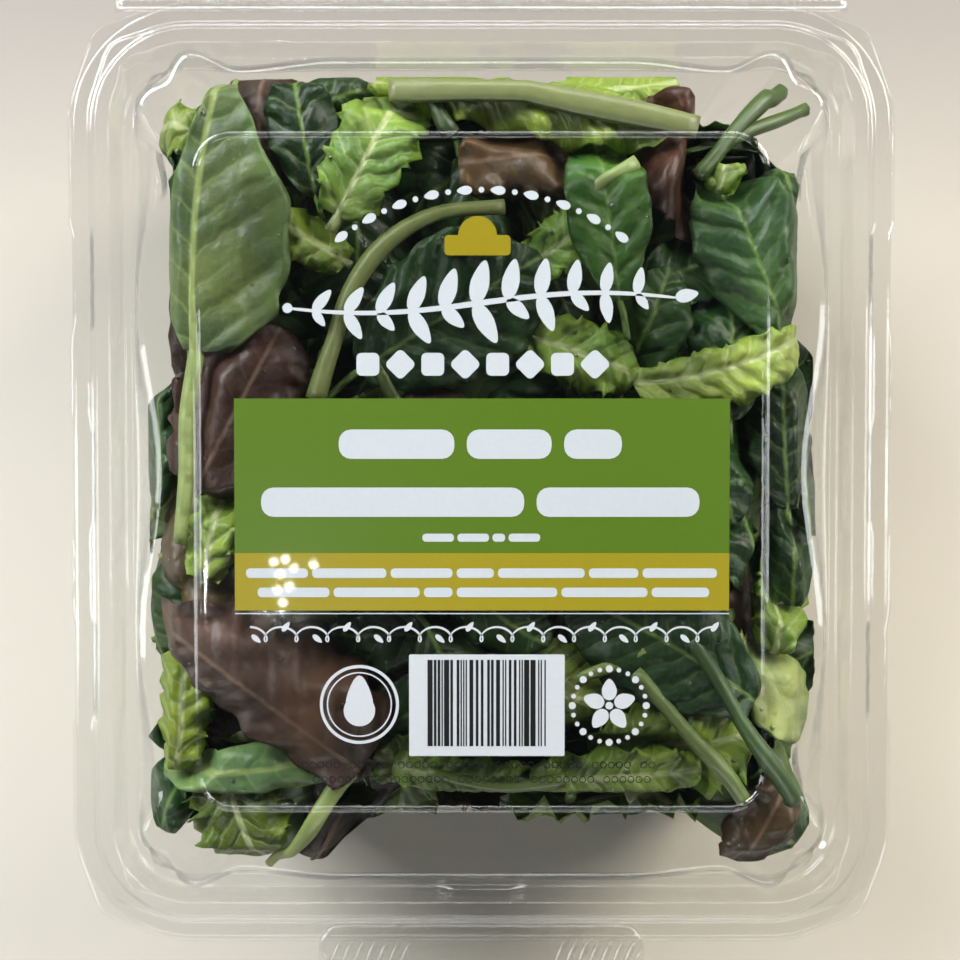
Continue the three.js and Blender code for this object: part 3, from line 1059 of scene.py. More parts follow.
    def lift(self, layer: InkLayer, name: str, rise: float, thickness: float) -> Piece:
        """Sets a layer at its height over the film and gives it its thickness."""
        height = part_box("label")[1].z / MM + rise
        bm = layer.bm
        bmesh.ops.recalc_face_normals(bm, faces=bm.faces[:])
        down = [face for face in bm.faces if face.normal.z < 0]
        bmesh.ops.reverse_faces(bm, faces=down)
        bmesh.ops.translate(bm, verts=bm.verts[:], vec=(0.0, self.pack.centre_y, height))
        bmesh.ops.scale(bm, verts=bm.verts[:], vec=(MM, MM, MM))
        piece = to_object(bm, name, smooth=False)
        thicken(piece, thickness)
        return piece

    def make(self) -> None:
        """Builds the film and every ink layer."""
        place(self.film(), "lid", "printed_film", ClearFilm().make(), ["label"])
        self.fields()
        self.head()
        self.rows()
        self.vine()
        self.emblems()
        self.code()
        for ink, layer in self.layers.items():
            rise = ink.value + self.ink_thickness
            piece = self.lift(layer, INKS[ink].name, rise, self.ink_thickness)
            place(piece, "lid", "printed_film", INKS[ink].make())


# ---- Leaves: how each kind grows ----
class Kind(Enum):
    """The kinds of leaf in the pack."""

    SPINACH = "spinach_leaves"
    SAGE = "pale_spinach_leaves"
    GREEN = "green_lettuce_leaves"
    RED = "red_lettuce_leaves"


@dataclass(frozen=True)
class LeafForm:
    """The shape and colours of one kind of leaf, lengths in millimetres."""

    blade: Floats
    margin: Floats
    rib: Floats
    base: float
    swell: float
    blunt: float
    ragged: float
    frill: float
    frill_count: float
    blister: float
    rib_radius: float
    petiole: float
    tone_spread: float = 0.22


FORMS: dict[Kind, LeafForm] = {
    Kind.SPINACH: LeafForm(
        srgb(58, 96, 44), srgb(42, 78, 32), srgb(134, 164, 84), base=0.10, swell=0.85, blunt=0.55,
        ragged=0.018, frill=1.5, frill_count=1.7, blister=1.3, rib_radius=0.95, petiole=26.0,
    ),
    Kind.SAGE: LeafForm(
        srgb(150, 178, 112), srgb(120, 154, 84), srgb(178, 196, 118), base=0.12, swell=0.8, blunt=0.5,
        ragged=0.02, frill=1.4, frill_count=2.0, blister=1.3, rib_radius=1.7, petiole=30.0,
    ),
    Kind.GREEN: LeafForm(
        srgb(160, 190, 76), srgb(126, 164, 42), srgb(218, 226, 168), base=0.30, swell=0.7, blunt=0.32,
        ragged=0.045, frill=3.6, frill_count=4.2, blister=2.4, rib_radius=1.7, petiole=8.0,
    ),
    Kind.RED: LeafForm(
        srgb(102, 76, 66), srgb(60, 34, 32), srgb(140, 116, 96), base=0.30, swell=0.7, blunt=0.36,
        ragged=0.02, frill=3.0, frill_count=3.0, blister=2.4, rib_radius=0.9, petiole=8.0,
    ),
}


@dataclass(frozen=True)
class Leaf:
    """One leaf: where its middle lies on its face, its size, its heading and how it bends."""

    kind: Kind
    at: Pair
    size: Pair
    turn: float
    top: float
    arch: float = 3.0
    roll: float = 0.0
    fold: float = 0.12
    sweep: float = 0.0
    petiole: float = -1.0
    tone: float = 1.0
    cast: tuple[float, float, float] = (1.0, 1.0, 1.0)
    skew: float = 0.0
    pointed: float = 0.0
    rows: int = 20
    columns: int = 13


class LeafShape:
    """The points of one leaf before it is pressed into the pack."""

    def __init__(self, leaf: Leaf, rng: np.random.Generator) -> None:
        """Works out the blade and its rib.

        Args:
            leaf: The leaf.
            rng: The source of its small irregularities.
        """
        self.leaf = leaf
        self.form = FORMS[leaf.kind]
        self.phase = rng.uniform(0.0, TURN, 8)
        self.seed = float(rng.uniform(0.0, 50.0))
        self.cut = rng.uniform(0.7, 1.3)
        self.curl = rng.uniform(-0.10, 0.30)

    def width(self, u: Array) -> Array:
        """Gives the half width along the blade, from its base at 0 to its tip at 1."""
        form = self.form
        grid = np.linspace(0.001, 0.999, 200)
        blunt = form.blunt + self.leaf.pointed
        plain = lambda t: (1 - t) ** blunt * (form.base + (1 - form.base) * t**form.swell)
        shape = plain(np.clip(u, 0.0, 0.996)) / plain(grid).max()
        return np.maximum(shape * self.leaf.size[1] / 2, 0.7)

    def sag(self, x: Array, y: Array) -> Array:
        """Gives the height of the blade over its own middle plane."""
        leaf, p = self.leaf, self.phase
        along, across = 2 * x / leaf.size[0], 2 * y / leaf.size[1]
        height = -leaf.arch * (along**2 + 0.5 * across**2)
        height += leaf.fold * np.abs(y)
        height += 0.10 * leaf.size[1] * math.sin(p[0]) * along * across
        height -= self.curl * leaf.size[1] * np.maximum(np.abs(across) - 0.45, 0.0) ** 2 * 1.6
        ripples = np.sin(x * 0.33 + p[1] + 0.5 * np.sin(y * 0.3)) * np.cos(y * 0.42 + p[2])
        creases = np.abs(np.sin((x - 0.8 * np.abs(y)) * 0.5 + p[3])) - 0.6
        reach = np.minimum(np.abs(across) * 2.0, 1.0)
        return height + self.form.blister * reach * (0.7 * ripples + 0.55 * creases)

    def blade(self) -> dict[str, Array]:
        """Lists the blade's points, with the veins' places on it."""
        leaf, form, p = self.leaf, self.form, self.phase
        u = np.linspace(0.0, 1.0, leaf.rows)[:, None] ** 0.92
        v = np.linspace(-1.0, 1.0, leaf.columns)[None, :]
        half = self.width(u)
        teeth = np.sin(u * 17 + p[4] + 2 * np.sign(v)) + 0.8 * np.sin(u * 31 + p[5])
        ragged = 1 + form.ragged * teeth
        x = (u - 0.5) * leaf.size[0] + 0 * v
        y = v * half * ragged * (1 + leaf.skew * np.sign(v))
        x = x - 0.25 * np.abs(v) ** 2 * half * (u - 0.35)
        edge = np.abs(v) ** 2.6 * np.minimum(half / 6.0, 1.0)
        wave = TURN * form.frill_count * u * self.cut + p[6] + 1.9 * np.sign(v)
        wave = wave + 0.8 * np.sin(u * 9 + p[7])
        z = self.sag(x, y) + form.frill * edge * np.sin(wave)
        z += 0.35 * form.frill * edge * np.sin(2.3 * wave + 1.0)
        y = y * (1 - 0.05 * form.frill * edge * np.cos(wave) ** 2)
        x = x + 0.35 * form.frill * edge * np.cos(wave)
        bent = y + leaf.sweep * (2 * x / leaf.size[0]) ** 2
        along = x + 0.5 * leaf.size[0]
        return {"a": x, "b": bent, "h": z, "along": along, "across": y + 0 * x, "edge": np.abs(v) + 0 * u}

    def rib(self) -> dict[str, Array]:
        """Lists the points of the stalk and the rib that runs on from it, as a tapering tube."""
        leaf, form = self.leaf, self.form
        stalk = form.petiole if leaf.petiole < 0 else leaf.petiole
        reach = 0.86 * leaf.size[0]
        count = max(10, int((stalk + reach) / 3.2))
        t = np.linspace(0.0, 1.0, count)
        x = -0.5 * leaf.size[0] - stalk + t * (stalk + reach)
        thin = np.clip((x + 0.5 * leaf.size[0]) / reach, 0.0, 1.0)
        size = math.sqrt(leaf.size[0] / 55.0)
        radius = form.rib_radius * size * (1 - 0.9 * thin**0.55)
        radius[[0, -1]] = 0.0
        x[0] = x[1]
        start = -0.5 * leaf.size[0]
        inner = np.clip(x, start, None)
        spine_h = self.sag(inner, 0 * inner) - 0.35 * radius
        beyond = np.clip(start - x, 0.0, None)
        spine_h = spine_h + beyond * (4 * leaf.arch / leaf.size[0]) * 0.12
        bow = 0.10 * beyond * math.sin(self.phase[1])
        bow = bow + 0.5 * np.sin(beyond * 0.18 + self.phase[2]) * (beyond > 0)
        swept = leaf.sweep * (2 * x / leaf.size[0]) ** 2 * (x > start) + leaf.sweep * (x <= start)
        angle = np.linspace(0.0, TURN, 9)
        round_b = radius[:, None] * np.cos(angle)[None, :] * 1.1
        round_h = radius[:, None] * np.sin(angle)[None, :] * 0.9
        ones = np.ones_like(round_b)
        return {
            "a": x[:, None] * ones,
            "b": (bow + swept)[:, None] + round_b,
            "h": spine_h[:, None] * ones,
            "swell": round_h,
            "along": (x + 0.5 * leaf.size[0])[:, None] * ones,
            "across": 0.15 * round_b,
            "edge": 0 * ones,
        }


def between(values: Array, i: Array, j: Array, k: Array, s: object, t: object) -> Array:
    """Reads a field a share s from row i to row k, and a share t from column j to the next."""
    low = values[i, j] * (1 - s) + values[k, j] * s
    high = values[i, j + 1] * (1 - s) + values[k, j + 1] * s
    return low * (1 - t) + high * t


class PressedFace:
    """One side of the pack against which leaves lie, seen square on.

    The field says how far outwards the next leaf may lie at each place. It starts at
    the plastic and sinks below every leaf that is laid.
    """

    gap = 0.55
    step = 1.5
    rebound = 0.34

    def __init__(self, low: Pair, high: Pair, wrap: bool = False) -> None:
        """Spans the face.

        Args:
            low: The lowest of its two coordinates.
            high: The highest of its two coordinates.
            wrap: Whether its first coordinate runs round and closes on itself.
        """
        self.low, self.wrap = np.array(low), wrap
        self.shape = tuple(int((h - l) / self.step) + 1 for l, h in zip(low, high))
        a = low[0] + self.step * np.arange(self.shape[0])[:, None]
        b = low[1] + self.step * np.arange(self.shape[1])[None, :]
        self.a, self.b = a + 0 * b, b + 0 * a
        self.field = self.plastic(self.a, self.b)
        self.cover = np.zeros(self.shape)

    def plastic(self, a: Array, b: Array) -> Array:
        """Says how far outwards the plastic lies."""
        raise NotImplementedError

    def open(self, a: Array, b: Array) -> Array:
        """Says where leaves are wanted."""
        raise NotImplementedError

    def world(self, a: Array, b: Array, h: Array) -> Array:
        """Turns places on the face into points of the pack."""
        raise NotImplementedError

    def cells(self, a: Array, b: Array) -> tuple[Array, Array]:
        """Finds the cells that hold the places."""
        i = np.rint((a - self.low[0]) / self.step).astype(int)
        j = np.rint((b - self.low[1]) / self.step).astype(int)
        i = i % self.shape[0] if self.wrap else np.clip(i, 0, self.shape[0] - 1)
        return i, np.clip(j, 0, self.shape[1] - 1)

    def shifted(self, values: Array, steps: int, axis: int) -> Array:
        """Moves a field sideways, holding its rim unless the face closes on itself."""
        if self.wrap and axis == 0:
            return np.roll(values, steps, axis=0)
        pad = [(0, 0), (0, 0)]
        pad[axis] = (max(steps, 0), max(-steps, 0))
        padded = np.pad(values, pad, mode="edge")
        cut = [slice(None), slice(None)]
        start = max(-steps, 0)
        cut[axis] = slice(start, start + values.shape[axis])
        return padded[tuple(cut)]

    def eased(self) -> Array:
        """Smooths the field without letting it rise past the true one."""
        result = self.field
        for axis in (0, 1):
            moved = [self.shifted(result, k, axis) for k in (-2, -1, 0, 1, 2)]
            result = np.minimum.reduce(moved)
        for axis in (0, 1, 0, 1):
            moved = [self.shifted(result, k, axis) for k in (-1, 0, 1)]
            result = sum(moved) / 3.0
        return result

    def sample(self, values: Array, a: Array, b: Array) -> Array:
        """Reads a field between its cells."""
        fa = (a - self.low[0]) / self.step
        fb = np.clip((b - self.low[1]) / self.step, 0, self.shape[1] - 1.001)
        if self.wrap:
            fa = fa % self.shape[0]
        else:
            fa = np.clip(fa, 0, self.shape[0] - 1.001)
        i, j = fa.astype(int), fb.astype(int)
        s, t = fa - i, fb - j
        k = (i + 1) % self.shape[0] if self.wrap else i + 1
        return between(values, i % self.shape[0], j, k, s, t)

    def lay(self, leaf: Leaf, rng: np.random.Generator, pressed: bool = False) -> list[dict[str, Array]]:
        """Lays one leaf under what lies there already.

        Args:
            leaf: The leaf, its top measured outwards.
            rng: The source of its small irregularities.
            pressed: Whether its own height is worked out from what lies over it.

        Returns:
            The blade and the rib, each with its points and its veins' places.
        """
        shape = LeafShape(leaf, rng)
        eased = self.eased()
        parts = [shape.blade(), shape.rib()]
        turn, roll = math.radians(leaf.turn), math.radians(leaf.roll)
        top = leaf.top
        if pressed:
            top += float(self.sample(eased, np.array([leaf.at[0]]), np.array([leaf.at[1]]))[0])
        laid = []
        for part in parts:
            b = part["b"] * math.cos(roll) - part["h"] * math.sin(roll)
            h = part["b"] * math.sin(roll) + part["h"] * math.cos(roll)
            a = part["a"]
            face_a = leaf.at[0] + a * math.cos(turn) - b * math.sin(turn)
            face_b = leaf.at[1] + a * math.sin(turn) + b * math.cos(turn)
            limit = self.sample(eased, face_a, face_b) - self.gap
            swell = part.get("swell")
            if swell is not None:
                limit = limit - swell.max(axis=1, keepdims=True)
            height = top + h
            over = np.maximum(height - limit, 0.0)
            height = np.minimum(height, limit) - self.rebound * np.minimum(over, 6.0)
            self.press(face_a, face_b, height - (0.35 if swell is None else 2 * np.abs(swell)))
            if swell is not None:
                height = height + swell
            laid.append({**part, "points": self.world(face_a, face_b, height), "shape": shape})
        return laid

    def press(self, a: Array, b: Array, h: Array) -> None:
        """Sinks the field below a laid sheet and counts its cover."""
        rows = np.linspace(0, a.shape[0] - 1.001, min(a.shape[0] * 4, 90))
        columns = np.linspace(0, a.shape[1] - 1.001, min(a.shape[1] * 4, 60))
        i, j = rows.astype(int)[:, None], columns.astype(int)[None, :]
        s, t = rows[:, None] - i, columns[None, :] - j
        dense_a, dense_b, dense_h = (between(values, i, j, i + 1, s, t) for values in (a, b, h))
        cell = self.cells(dense_a, dense_b)
        np.minimum.at(self.field, cell, dense_h)
        touched = np.zeros(self.shape, bool)
        touched[cell] = True
        self.cover += touched

    def bare_place(self, rng: np.random.Generator) -> tuple[Pair, float]:
        """Finds a place among the least covered cells and says how often it is covered."""
        wanted = self.open(self.a, self.b)
        least = self.cover[wanted].min()
        choices = np.argwhere(wanted & (self.cover <= least))
        i, j = choices[rng.integers(len(choices))]
        return (float(self.a[i, j]), float(self.b[i, j])), float(least)


# ---- The room inside the pack ----
@dataclass(frozen=True)
class Clearing:
    """A stretch of the pack's side from which the leaves keep away.

    They stay within a reach of the flange's centre along a heading, over a stretch
    that is measured squarely across that heading.
    """

    heading_deg: float
    reach: float
    middle: float = 0.0
    half: float = 200.0
    ease: float = 9.0

    def beyond(self, x: Array, y: Array) -> Array:
        """Says how far past its reach each place lies, fading at its ends."""
        turn = math.radians(self.heading_deg)
        out = x * math.cos(turn) + y * math.sin(turn) - self.reach
        along = y * math.cos(turn) - x * math.sin(turn)
        return np.maximum(out, 0.0) * bump(along - self.middle, self.half, self.ease)


CLEARINGS: tuple[Clearing, ...] = (
    Clearing(47.6, 116.5),
    Clearing(140.0, 126.5),
    Clearing(180.0, 83.0, -56.0, 28.0),
    Clearing(0.0, 84.5, 57.0, 16.0),
)


@dataclass(frozen=True)
class Room:
    """The space inside the shut pack, measured from the flange's top and edge."""

    pack: PackFrame
    edge: WavyEdge = WavyEdge()
    wall_insets: Floats = (28.5, 23.2, 19.8, 16.0, 19.5, 26.5, 28.0)
    wall_levels: Floats = (-81.0, -70.0, -38.0, -8.0, -4.0, 14.0, 16.0)
    ceiling_insets: Floats = (16.0, 19.5, 27.0, 29.0)
    ceiling_levels: Floats = (-9.0, -4.5, 14.2, 15.1)
    corner: float = 17.0
    rim_inset: float = 15.0
    hinge_space: float = 4.0

    def inset_at(self, level: Array) -> Array:
        """Says how far inside the flange's edge the plastic lies at a level."""
        return np.interp(level, self.wall_levels, self.wall_insets)

    def gap_to(self, x: Array, y: Array) -> Array:
        """Says how far inside the flange's edge each point lies."""
        qx = np.abs(x) - (self.pack.half_width - FLANGE_RADIUS)
        qy = np.abs(y) - (self.pack.half_length - FLANGE_RADIUS)
        out = np.hypot(np.maximum(qx, 0), np.maximum(qy, 0)) + np.minimum(np.maximum(qx, qy), 0)
        return FLANGE_RADIUS - out

    def ceiling(self, x: Array, y: Array) -> Array:
        """Says how high above the flange the lid leaves room, with more of it at the hinge."""
        nearer = np.where(y > 0, np.maximum(y - self.hinge_space, 0.0), y)
        return np.interp(self.gap_to(x, nearer), self.ceiling_insets, self.ceiling_levels)

    def hold(self, points: Array, margin: float | Array) -> Array:
        """Moves points that would pass through the wall back inside it.

        Args:
            points: Places measured from the flange's centre and top.
            margin: How far off the wall they stay.

        Returns:
            The held points.
        """
        held = points.copy()
        inset = self.inset_at(held[..., 2]) + margin
        half = np.array([self.pack.half_width, self.pack.half_length])
        radius = self.corner
        sign = np.sign(held[..., :2])
        q = np.abs(held[..., :2]) - (half - inset[..., None] - radius)
        spare = np.interp(held[..., 2], (-4.0, 14.0), (0.0, self.hinge_space))
        q[..., 1] -= np.where(held[..., 1] > 0, spare, 0.0)
        beyond = np.maximum(q, 0)
        size = np.linalg.norm(beyond, axis=-1)
        over = np.maximum(size - radius, 0)
        share = over / np.maximum(size, 1e-6)
        held[..., :2] -= sign * beyond * share[..., None]
        return held

    def clear(self, points: Array, share: float = 0.88) -> Array:
        """Draws points back out of the clearings, keeping their order."""
        held = points.copy()
        for clearing in CLEARINGS:
            turn = math.radians(clearing.heading_deg)
            back = share * clearing.beyond(held[..., 0], held[..., 1])
            held[..., 0] -= back * math.cos(turn)
            held[..., 1] -= back * math.sin(turn)
        return held

    def around(self, s: Array) -> tuple[Array, ...]:
        """Finds the corner centre, heading and wave at a distance round the wall.

        Args:
            s: Distance from the middle of the front, running to the right.

        Returns:
            Centre x, centre y, heading and wave.
        """
        width, length = self.runs()
        arc = self.corner * math.pi / 2
        s = s % self.perimeter()
        marks = np.cumsum([0, width, arc, 2 * length, arc, 2 * width, arc, 2 * length, arc, width])
        x_at = np.array([0, width, width, width, width, -width, -width, -width, -width, 0.0])
        y_at = np.array([-1, -1, -1, 1, 1, 1, 1, -1, -1, -1]) * length
        turn_at = np.array([-1, -1, 0, 0, 1, 1, 2, 2, 3, 3]) * math.pi / 2
        x, y, turn = (np.interp(s, marks, values) for values in (x_at, y_at, turn_at))
        bend = np.where(np.abs(np.sin(2 * turn)) > 1e-6, (turn / (math.pi / 2)) % 1.0, 0.0)
        edge = np.where(np.abs(np.cos(turn)) > 0.5, 0, 1)
        columns = (x / width, y / length, turn, bend, edge)
        table = np.column_stack([column.ravel() for column in columns])
        return x, y, turn, self.edge.at(table).reshape(s.shape)

    def perimeter(self) -> float:
        """Gives the length round the wall at the ledge."""
        return 4 * sum(self.runs()) + TURN * self.corner

    def runs(self) -> Pair:
        """Gives half the straight stretch across and along the pack at the ledge."""
        short = self.rim_inset + self.corner
        return self.pack.half_width - short, self.pack.half_length - short

    def wall_point(self, s: Array, level: Array, depth: Array) -> Array:
        """Gives the point at a depth behind the wall."""
        x, y, turn, wave = self.around(s)
        share = np.interp(level, (-70.0, -38.0, -8.0), (0.8, 0.6, 0.0))
        radius = self.corner - (self.inset_at(level) - self.rim_inset) - depth + share * wave
        slant = np.abs(np.sin(2 * turn))
        radius = np.where(slant < 1e-6, radius, np.maximum(radius, 0.5 - 0.35 * slant))
        return np.stack([x + radius * np.cos(turn), y + radius * np.sin(turn), level + 0 * x], axis=-1)


class TopFace(PressedFace):
    """The leaves seen through the lid, from above."""

    front_clear = {"y": (-91.0, -87.5), "left": (-40.0, -36.0), "right": (55.0, 59.0), "level": -36.0}
    corner_clear = {"x": (59.0, 64.0), "y": (85.0, 90.0), "level": -27.0}

    def __init__(self, room: Room) -> None:
        """Spans the face under the lid."""
        self.room = room
        super().__init__((-98.0, -114.0), (98.0, 114.0))

    def plastic(self, a: Array, b: Array) -> Array:
        """Says how high the lid is, less the clear space over the front and one hinge corner."""
        ceiling = self.room.ceiling(a, b)
        at, far = self.front_clear, self.corner_clear
        front = (1 - smooth_step(*at["y"], b)) * smooth_step(*at["left"], a)
        front = front * (1 - smooth_step(*at["right"], a))
        ceiling = ceiling + (np.minimum(ceiling, at["level"]) - ceiling) * front
        corner = smooth_step(*far["x"], a) * smooth_step(*far["y"], b)
        return ceiling + (np.minimum(ceiling, far["level"]) - ceiling) * corner

    def open(self, a: Array, b: Array) -> Array:
        """Says where leaves are wanted."""
        ease_a, ease_b = a / 85.0, (b - 5.0) / 101.0
        inside = (np.abs(ease_a) ** 6 + np.abs(ease_b) ** 6) < 1.0
        bare = (a > 58) & (b > 78)
        return inside & ~bare & (b > -92)

    def world(self, a: Array, b: Array, h: Array) -> Array:
        """Turns places on the face into points, held inside the wall."""
        return self.room.clear(self.room.hold(np.stack([a, b, h], axis=-1), 1.6))


class WallFace(PressedFace):
    """The leaves seen through the wall, from round the sides."""

    def __init__(self, room: Room) -> None:
        """Spans the wall from the floor to below the flange."""
        self.room = room
        length = room.perimeter()
        steps = round(length / self.step)
        super().__init__((0.0, -78.0), (length - length / steps, -6.0), wrap=True)

    def plastic(self, a: Array, b: Array) -> Array:
        """Says how close to the wall leaves may come, less the clear space at the front and one corner."""
        x, y, turn, _ = self.room.around(a)
        near = -1.1 + 0 * a
        high = smooth_step(-38.0, -34.0, b)
        front = (np.sin(turn) < -0.9) * bump(x, 78.0, 8.0) * high
        near = near - 11.5 * front
        corner = bump(turn - math.pi / 4, 0.7, 0.5) * smooth_step(-30.0, -25.0, b)
        return near - 9.0 * corner

    def open(self, a: Array, b: Array) -> Array:
        """Wants leaves all over the wall up to a ragged line."""
        line = -17.0 + 5.0 * np.sin(a * 0.043) + 3.0 * np.sin(a * 0.11 + 1.0)
        return (b > -76) & (b < line)

    def world(self, a: Array, b: Array, h: Array) -> Array:
        """Turns places on the wall into points."""
        level = np.clip(b, -79.0, -3.0)
        return self.room.clear(self.room.wall_point(a, level, -h))


class FloorFace(PressedFace):
    """The leaves seen through the floor, from below."""

    floor_level = 4.2

    def __init__(self, room: Room) -> None:
        """Spans the floor."""
        self.room = room
        super().__init__((-88.0, -104.0), (88.0, 104.0))

    def plastic(self, a: Array, b: Array) -> Array:
        """Says how low leaves may lie, rising towards the wall."""
        rise = np.interp(self.room.gap_to(a, b), (22.0, 28.0, 34.0), (14.0, 4.0, 0.0))
        return -self.floor_level - rise

    def open(self, a: Array, b: Array) -> Array:
        """Wants leaves all over the floor."""
        return self.room.gap_to(a, b) > 31.0

    def world(self, a: Array, b: Array, h: Array) -> Array:
        """Turns places on the floor into points, held inside the wall."""
        level = -h - self.room.pack.flange_top
        return self.room.clear(self.room.hold(np.stack([a, b, level], axis=-1), 1.6))


# ---- The leaves that show most, from above ----
# The second cast is painted shade: it darkens leaves that lie low along the walls and by the hinge.
DARK, DEEP_SHADE = (0.62, 0.68, 0.66), (0.26, 0.36, 0.28)
BLUISH, MAROON = (0.36, 0.46, 0.6), (0.55, 0.4, 0.35)

SPINACH, SAGE, GREEN, RED = Kind

SHOWN_LEAVES: tuple[Leaf, ...] = (
    Leaf(GREEN, (10, 99), (80, 19), -12, 11.5, arch=1.5, fold=-0.35, petiole=0, tone=0.8),
    Leaf(SAGE, (-74, 71), (76, 34), 84, 13.5, arch=1.5, roll=5, petiole=54, sweep=-3, tone=0.47,
         skew=-0.55, pointed=0.6),
    Leaf(GREEN, (-81, 92), (24, 15), 160, 12, roll=15, petiole=0, tone=0.85),
    Leaf(GREEN, (66, 87), (24, 13), 75, 6, petiole=0, tone=0.85),
    Leaf(RED, (-61, -56), (72, 33), 143, 13.5, arch=2, fold=-0.1, petiole=0, cast=(1.1, 1.06, 1.0),
         skew=-0.4, pointed=0.35),
    Leaf(SPINACH, (48, -43), (58, 36), 150, 13.5, arch=2.5, petiole=0, cast=BLUISH, sweep=2),
    Leaf(GREEN, (64, 28.5), (49, 17), 16, 13.5, arch=2, fold=0.4, petiole=0, sweep=3,
         cast=(1.1, 1.05, 1.5), skew=-0.25),
    Leaf(SPINACH, (33, 69), (46, 23), 98, 13, fold=0.3, petiole=14, cast=(2.0, 1.8, 1.2)),
    Leaf(SPINACH, (71, 60), (52, 31), 112, 11.5, arch=4, roll=-8, petiole=10, cast=(1.6, 1.2, 1.5)),
    Leaf(SPINACH, (-8, 43), (56, 40), 32, 12.5, arch=3, petiole=20, cast=DARK),
    Leaf(RED, (14, 84), (40, 24), 5, 11.5, petiole=4, cast=(1.0, 1.0, 0.55)),
    Leaf(RED, (54, 82), (42, 28), -66, 11.5, roll=-8, petiole=4, cast=MAROON),
    Leaf(GREEN, (-28, 87), (42, 24), 62, 12, arch=3, fold=0.3, petiole=8, tone=0.95),
    Leaf(SPINACH, (-47, 91), (34, 20), 100, 8, petiole=10, cast=DEEP_SHADE),
    Leaf(GREEN, (36, 104), (36, 20), 12, 8, petiole=6, tone=0.8),
    Leaf(RED, (-64, 18), (48, 38), 62, 11.5, roll=6, petiole=6, cast=MAROON),
    Leaf(GREEN, (-45, 62), (22, 15), 150, 11.5, petiole=4, tone=0.85),
    Leaf(GREEN, (22, 62), (26, 17), 35, 11, petiole=6, tone=1.05),
    Leaf(GREEN, (27, 32), (30, 20), -20, 11.5, petiole=6, tone=1.0),
    Leaf(SPINACH, (44, 40), (32, 22), 70, 11, petiole=10, cast=(1.3, 1.25, 1.0)),
    Leaf(SPINACH, (55, 55), (30, 20), 20, 8, petiole=8, cast=DARK),
    # The leaves from here to the right wall are darkened by their casts and tones as painted shade.
    Leaf(SPINACH, (66, 34), (38, 24), 90, 9, petiole=10, cast=(0.35, 0.5, 0.5)),
    Leaf(SPINACH, (81, 14), (46, 22), 92, 4, roll=-22, petiole=8, cast=DEEP_SHADE),
    Leaf(SPINACH, (90, -3), (28, 12), 90, -6, roll=-30, petiole=4, cast=DEEP_SHADE),
    Leaf(SPINACH, (86, -17), (38, 20), 86, -3, roll=-24, petiole=2, cast=DEEP_SHADE),
    Leaf(SPINACH, (87, 22), (40, 20), 94, -5, roll=-26, petiole=2, cast=DEEP_SHADE),
    Leaf(GREEN, (82, -33), (30, 20), 78, 3, roll=-18, petiole=4, tone=0.6),
    Leaf(SPINACH, (-88, 8), (34, 14), 90, -2, roll=30, petiole=6, cast=DARK),
    Leaf(GREEN, (-71, -14), (28, 16), 80, 10, petiole=4, tone=0.95),
    Leaf(RED, (-77, -22), (40, 24), -82, 7, roll=12, petiole=4, cast=(1.15, 1.35, 0.8)),
    Leaf(GREEN, (-86, -27), (16, 10), 60, 2, roll=20, petiole=2, tone=1.0),
    Leaf(GREEN, (-80, -62), (34, 18), 86, 7, roll=18, petiole=3, tone=0.9, cast=(0.95, 0.92, 0.45)),
    Leaf(SAGE, (-60, -78), (56, 13), 6, 9, arch=3, petiole=0, tone=0.72, cast=(0.8, 1.0, 1.0)),
    Leaf(GREEN, (-66, -91), (32, 28), -70, 3, petiole=2, tone=0.46, cast=(0.95, 0.85, 0.25)),
    Leaf(SPINACH, (-85, -88), (24, 17), 72, 0, roll=15, petiole=2, cast=(0.5, 0.8, 0.7)),
    Leaf(GREEN, (36, -80), (46, 16), 4, 8.5, petiole=2, tone=0.85),
    Leaf(GREEN, (-4, -81), (40, 13), -8, 7.5, petiole=2, tone=0.8),
    Leaf(GREEN, (51, -73), (44, 32), 12, 9.5, petiole=8, tone=0.95),
    Leaf(SAGE, (80, -58), (32, 20), -60, 4, roll=-15, petiole=6, cast=(1.35, 1.1, 1.15)),
    Leaf(RED, (77, -96), (27, 20), 60, 0, petiole=2, cast=(1.3, 1.2, 0.5), tone=0.55),
    Leaf(SPINACH, (20, -84), (46, 28), -10, 3, petiole=14, cast=DARK),
    Leaf(GREEN, (-12, -82), (36, 22), 160, 4, petiole=6, tone=0.7),
    Leaf(SPINACH, (60, 8), (44, 28), -70, 9, petiole=10, cast=DARK),
    Leaf(GREEN, (-46, -30), (38, 24), 40, 10, petiole=8, tone=0.85),
    # This leaf's dark cast is painted shade.
    Leaf(SPINACH, (70, -10), (46, 30), 105, 8, petiole=10, cast=(0.28, 0.4, 0.4)),
)


@dataclass(frozen=True)
class Stalk:
    """A cut stalk or thick rib: a tapering round rod through a few places."""

    path: tuple[tuple[float, float, float], ...]
    thick: float
    flat: float = 1.0
    colour: Floats = srgb(128, 142, 66)
    tip: float = 1.08


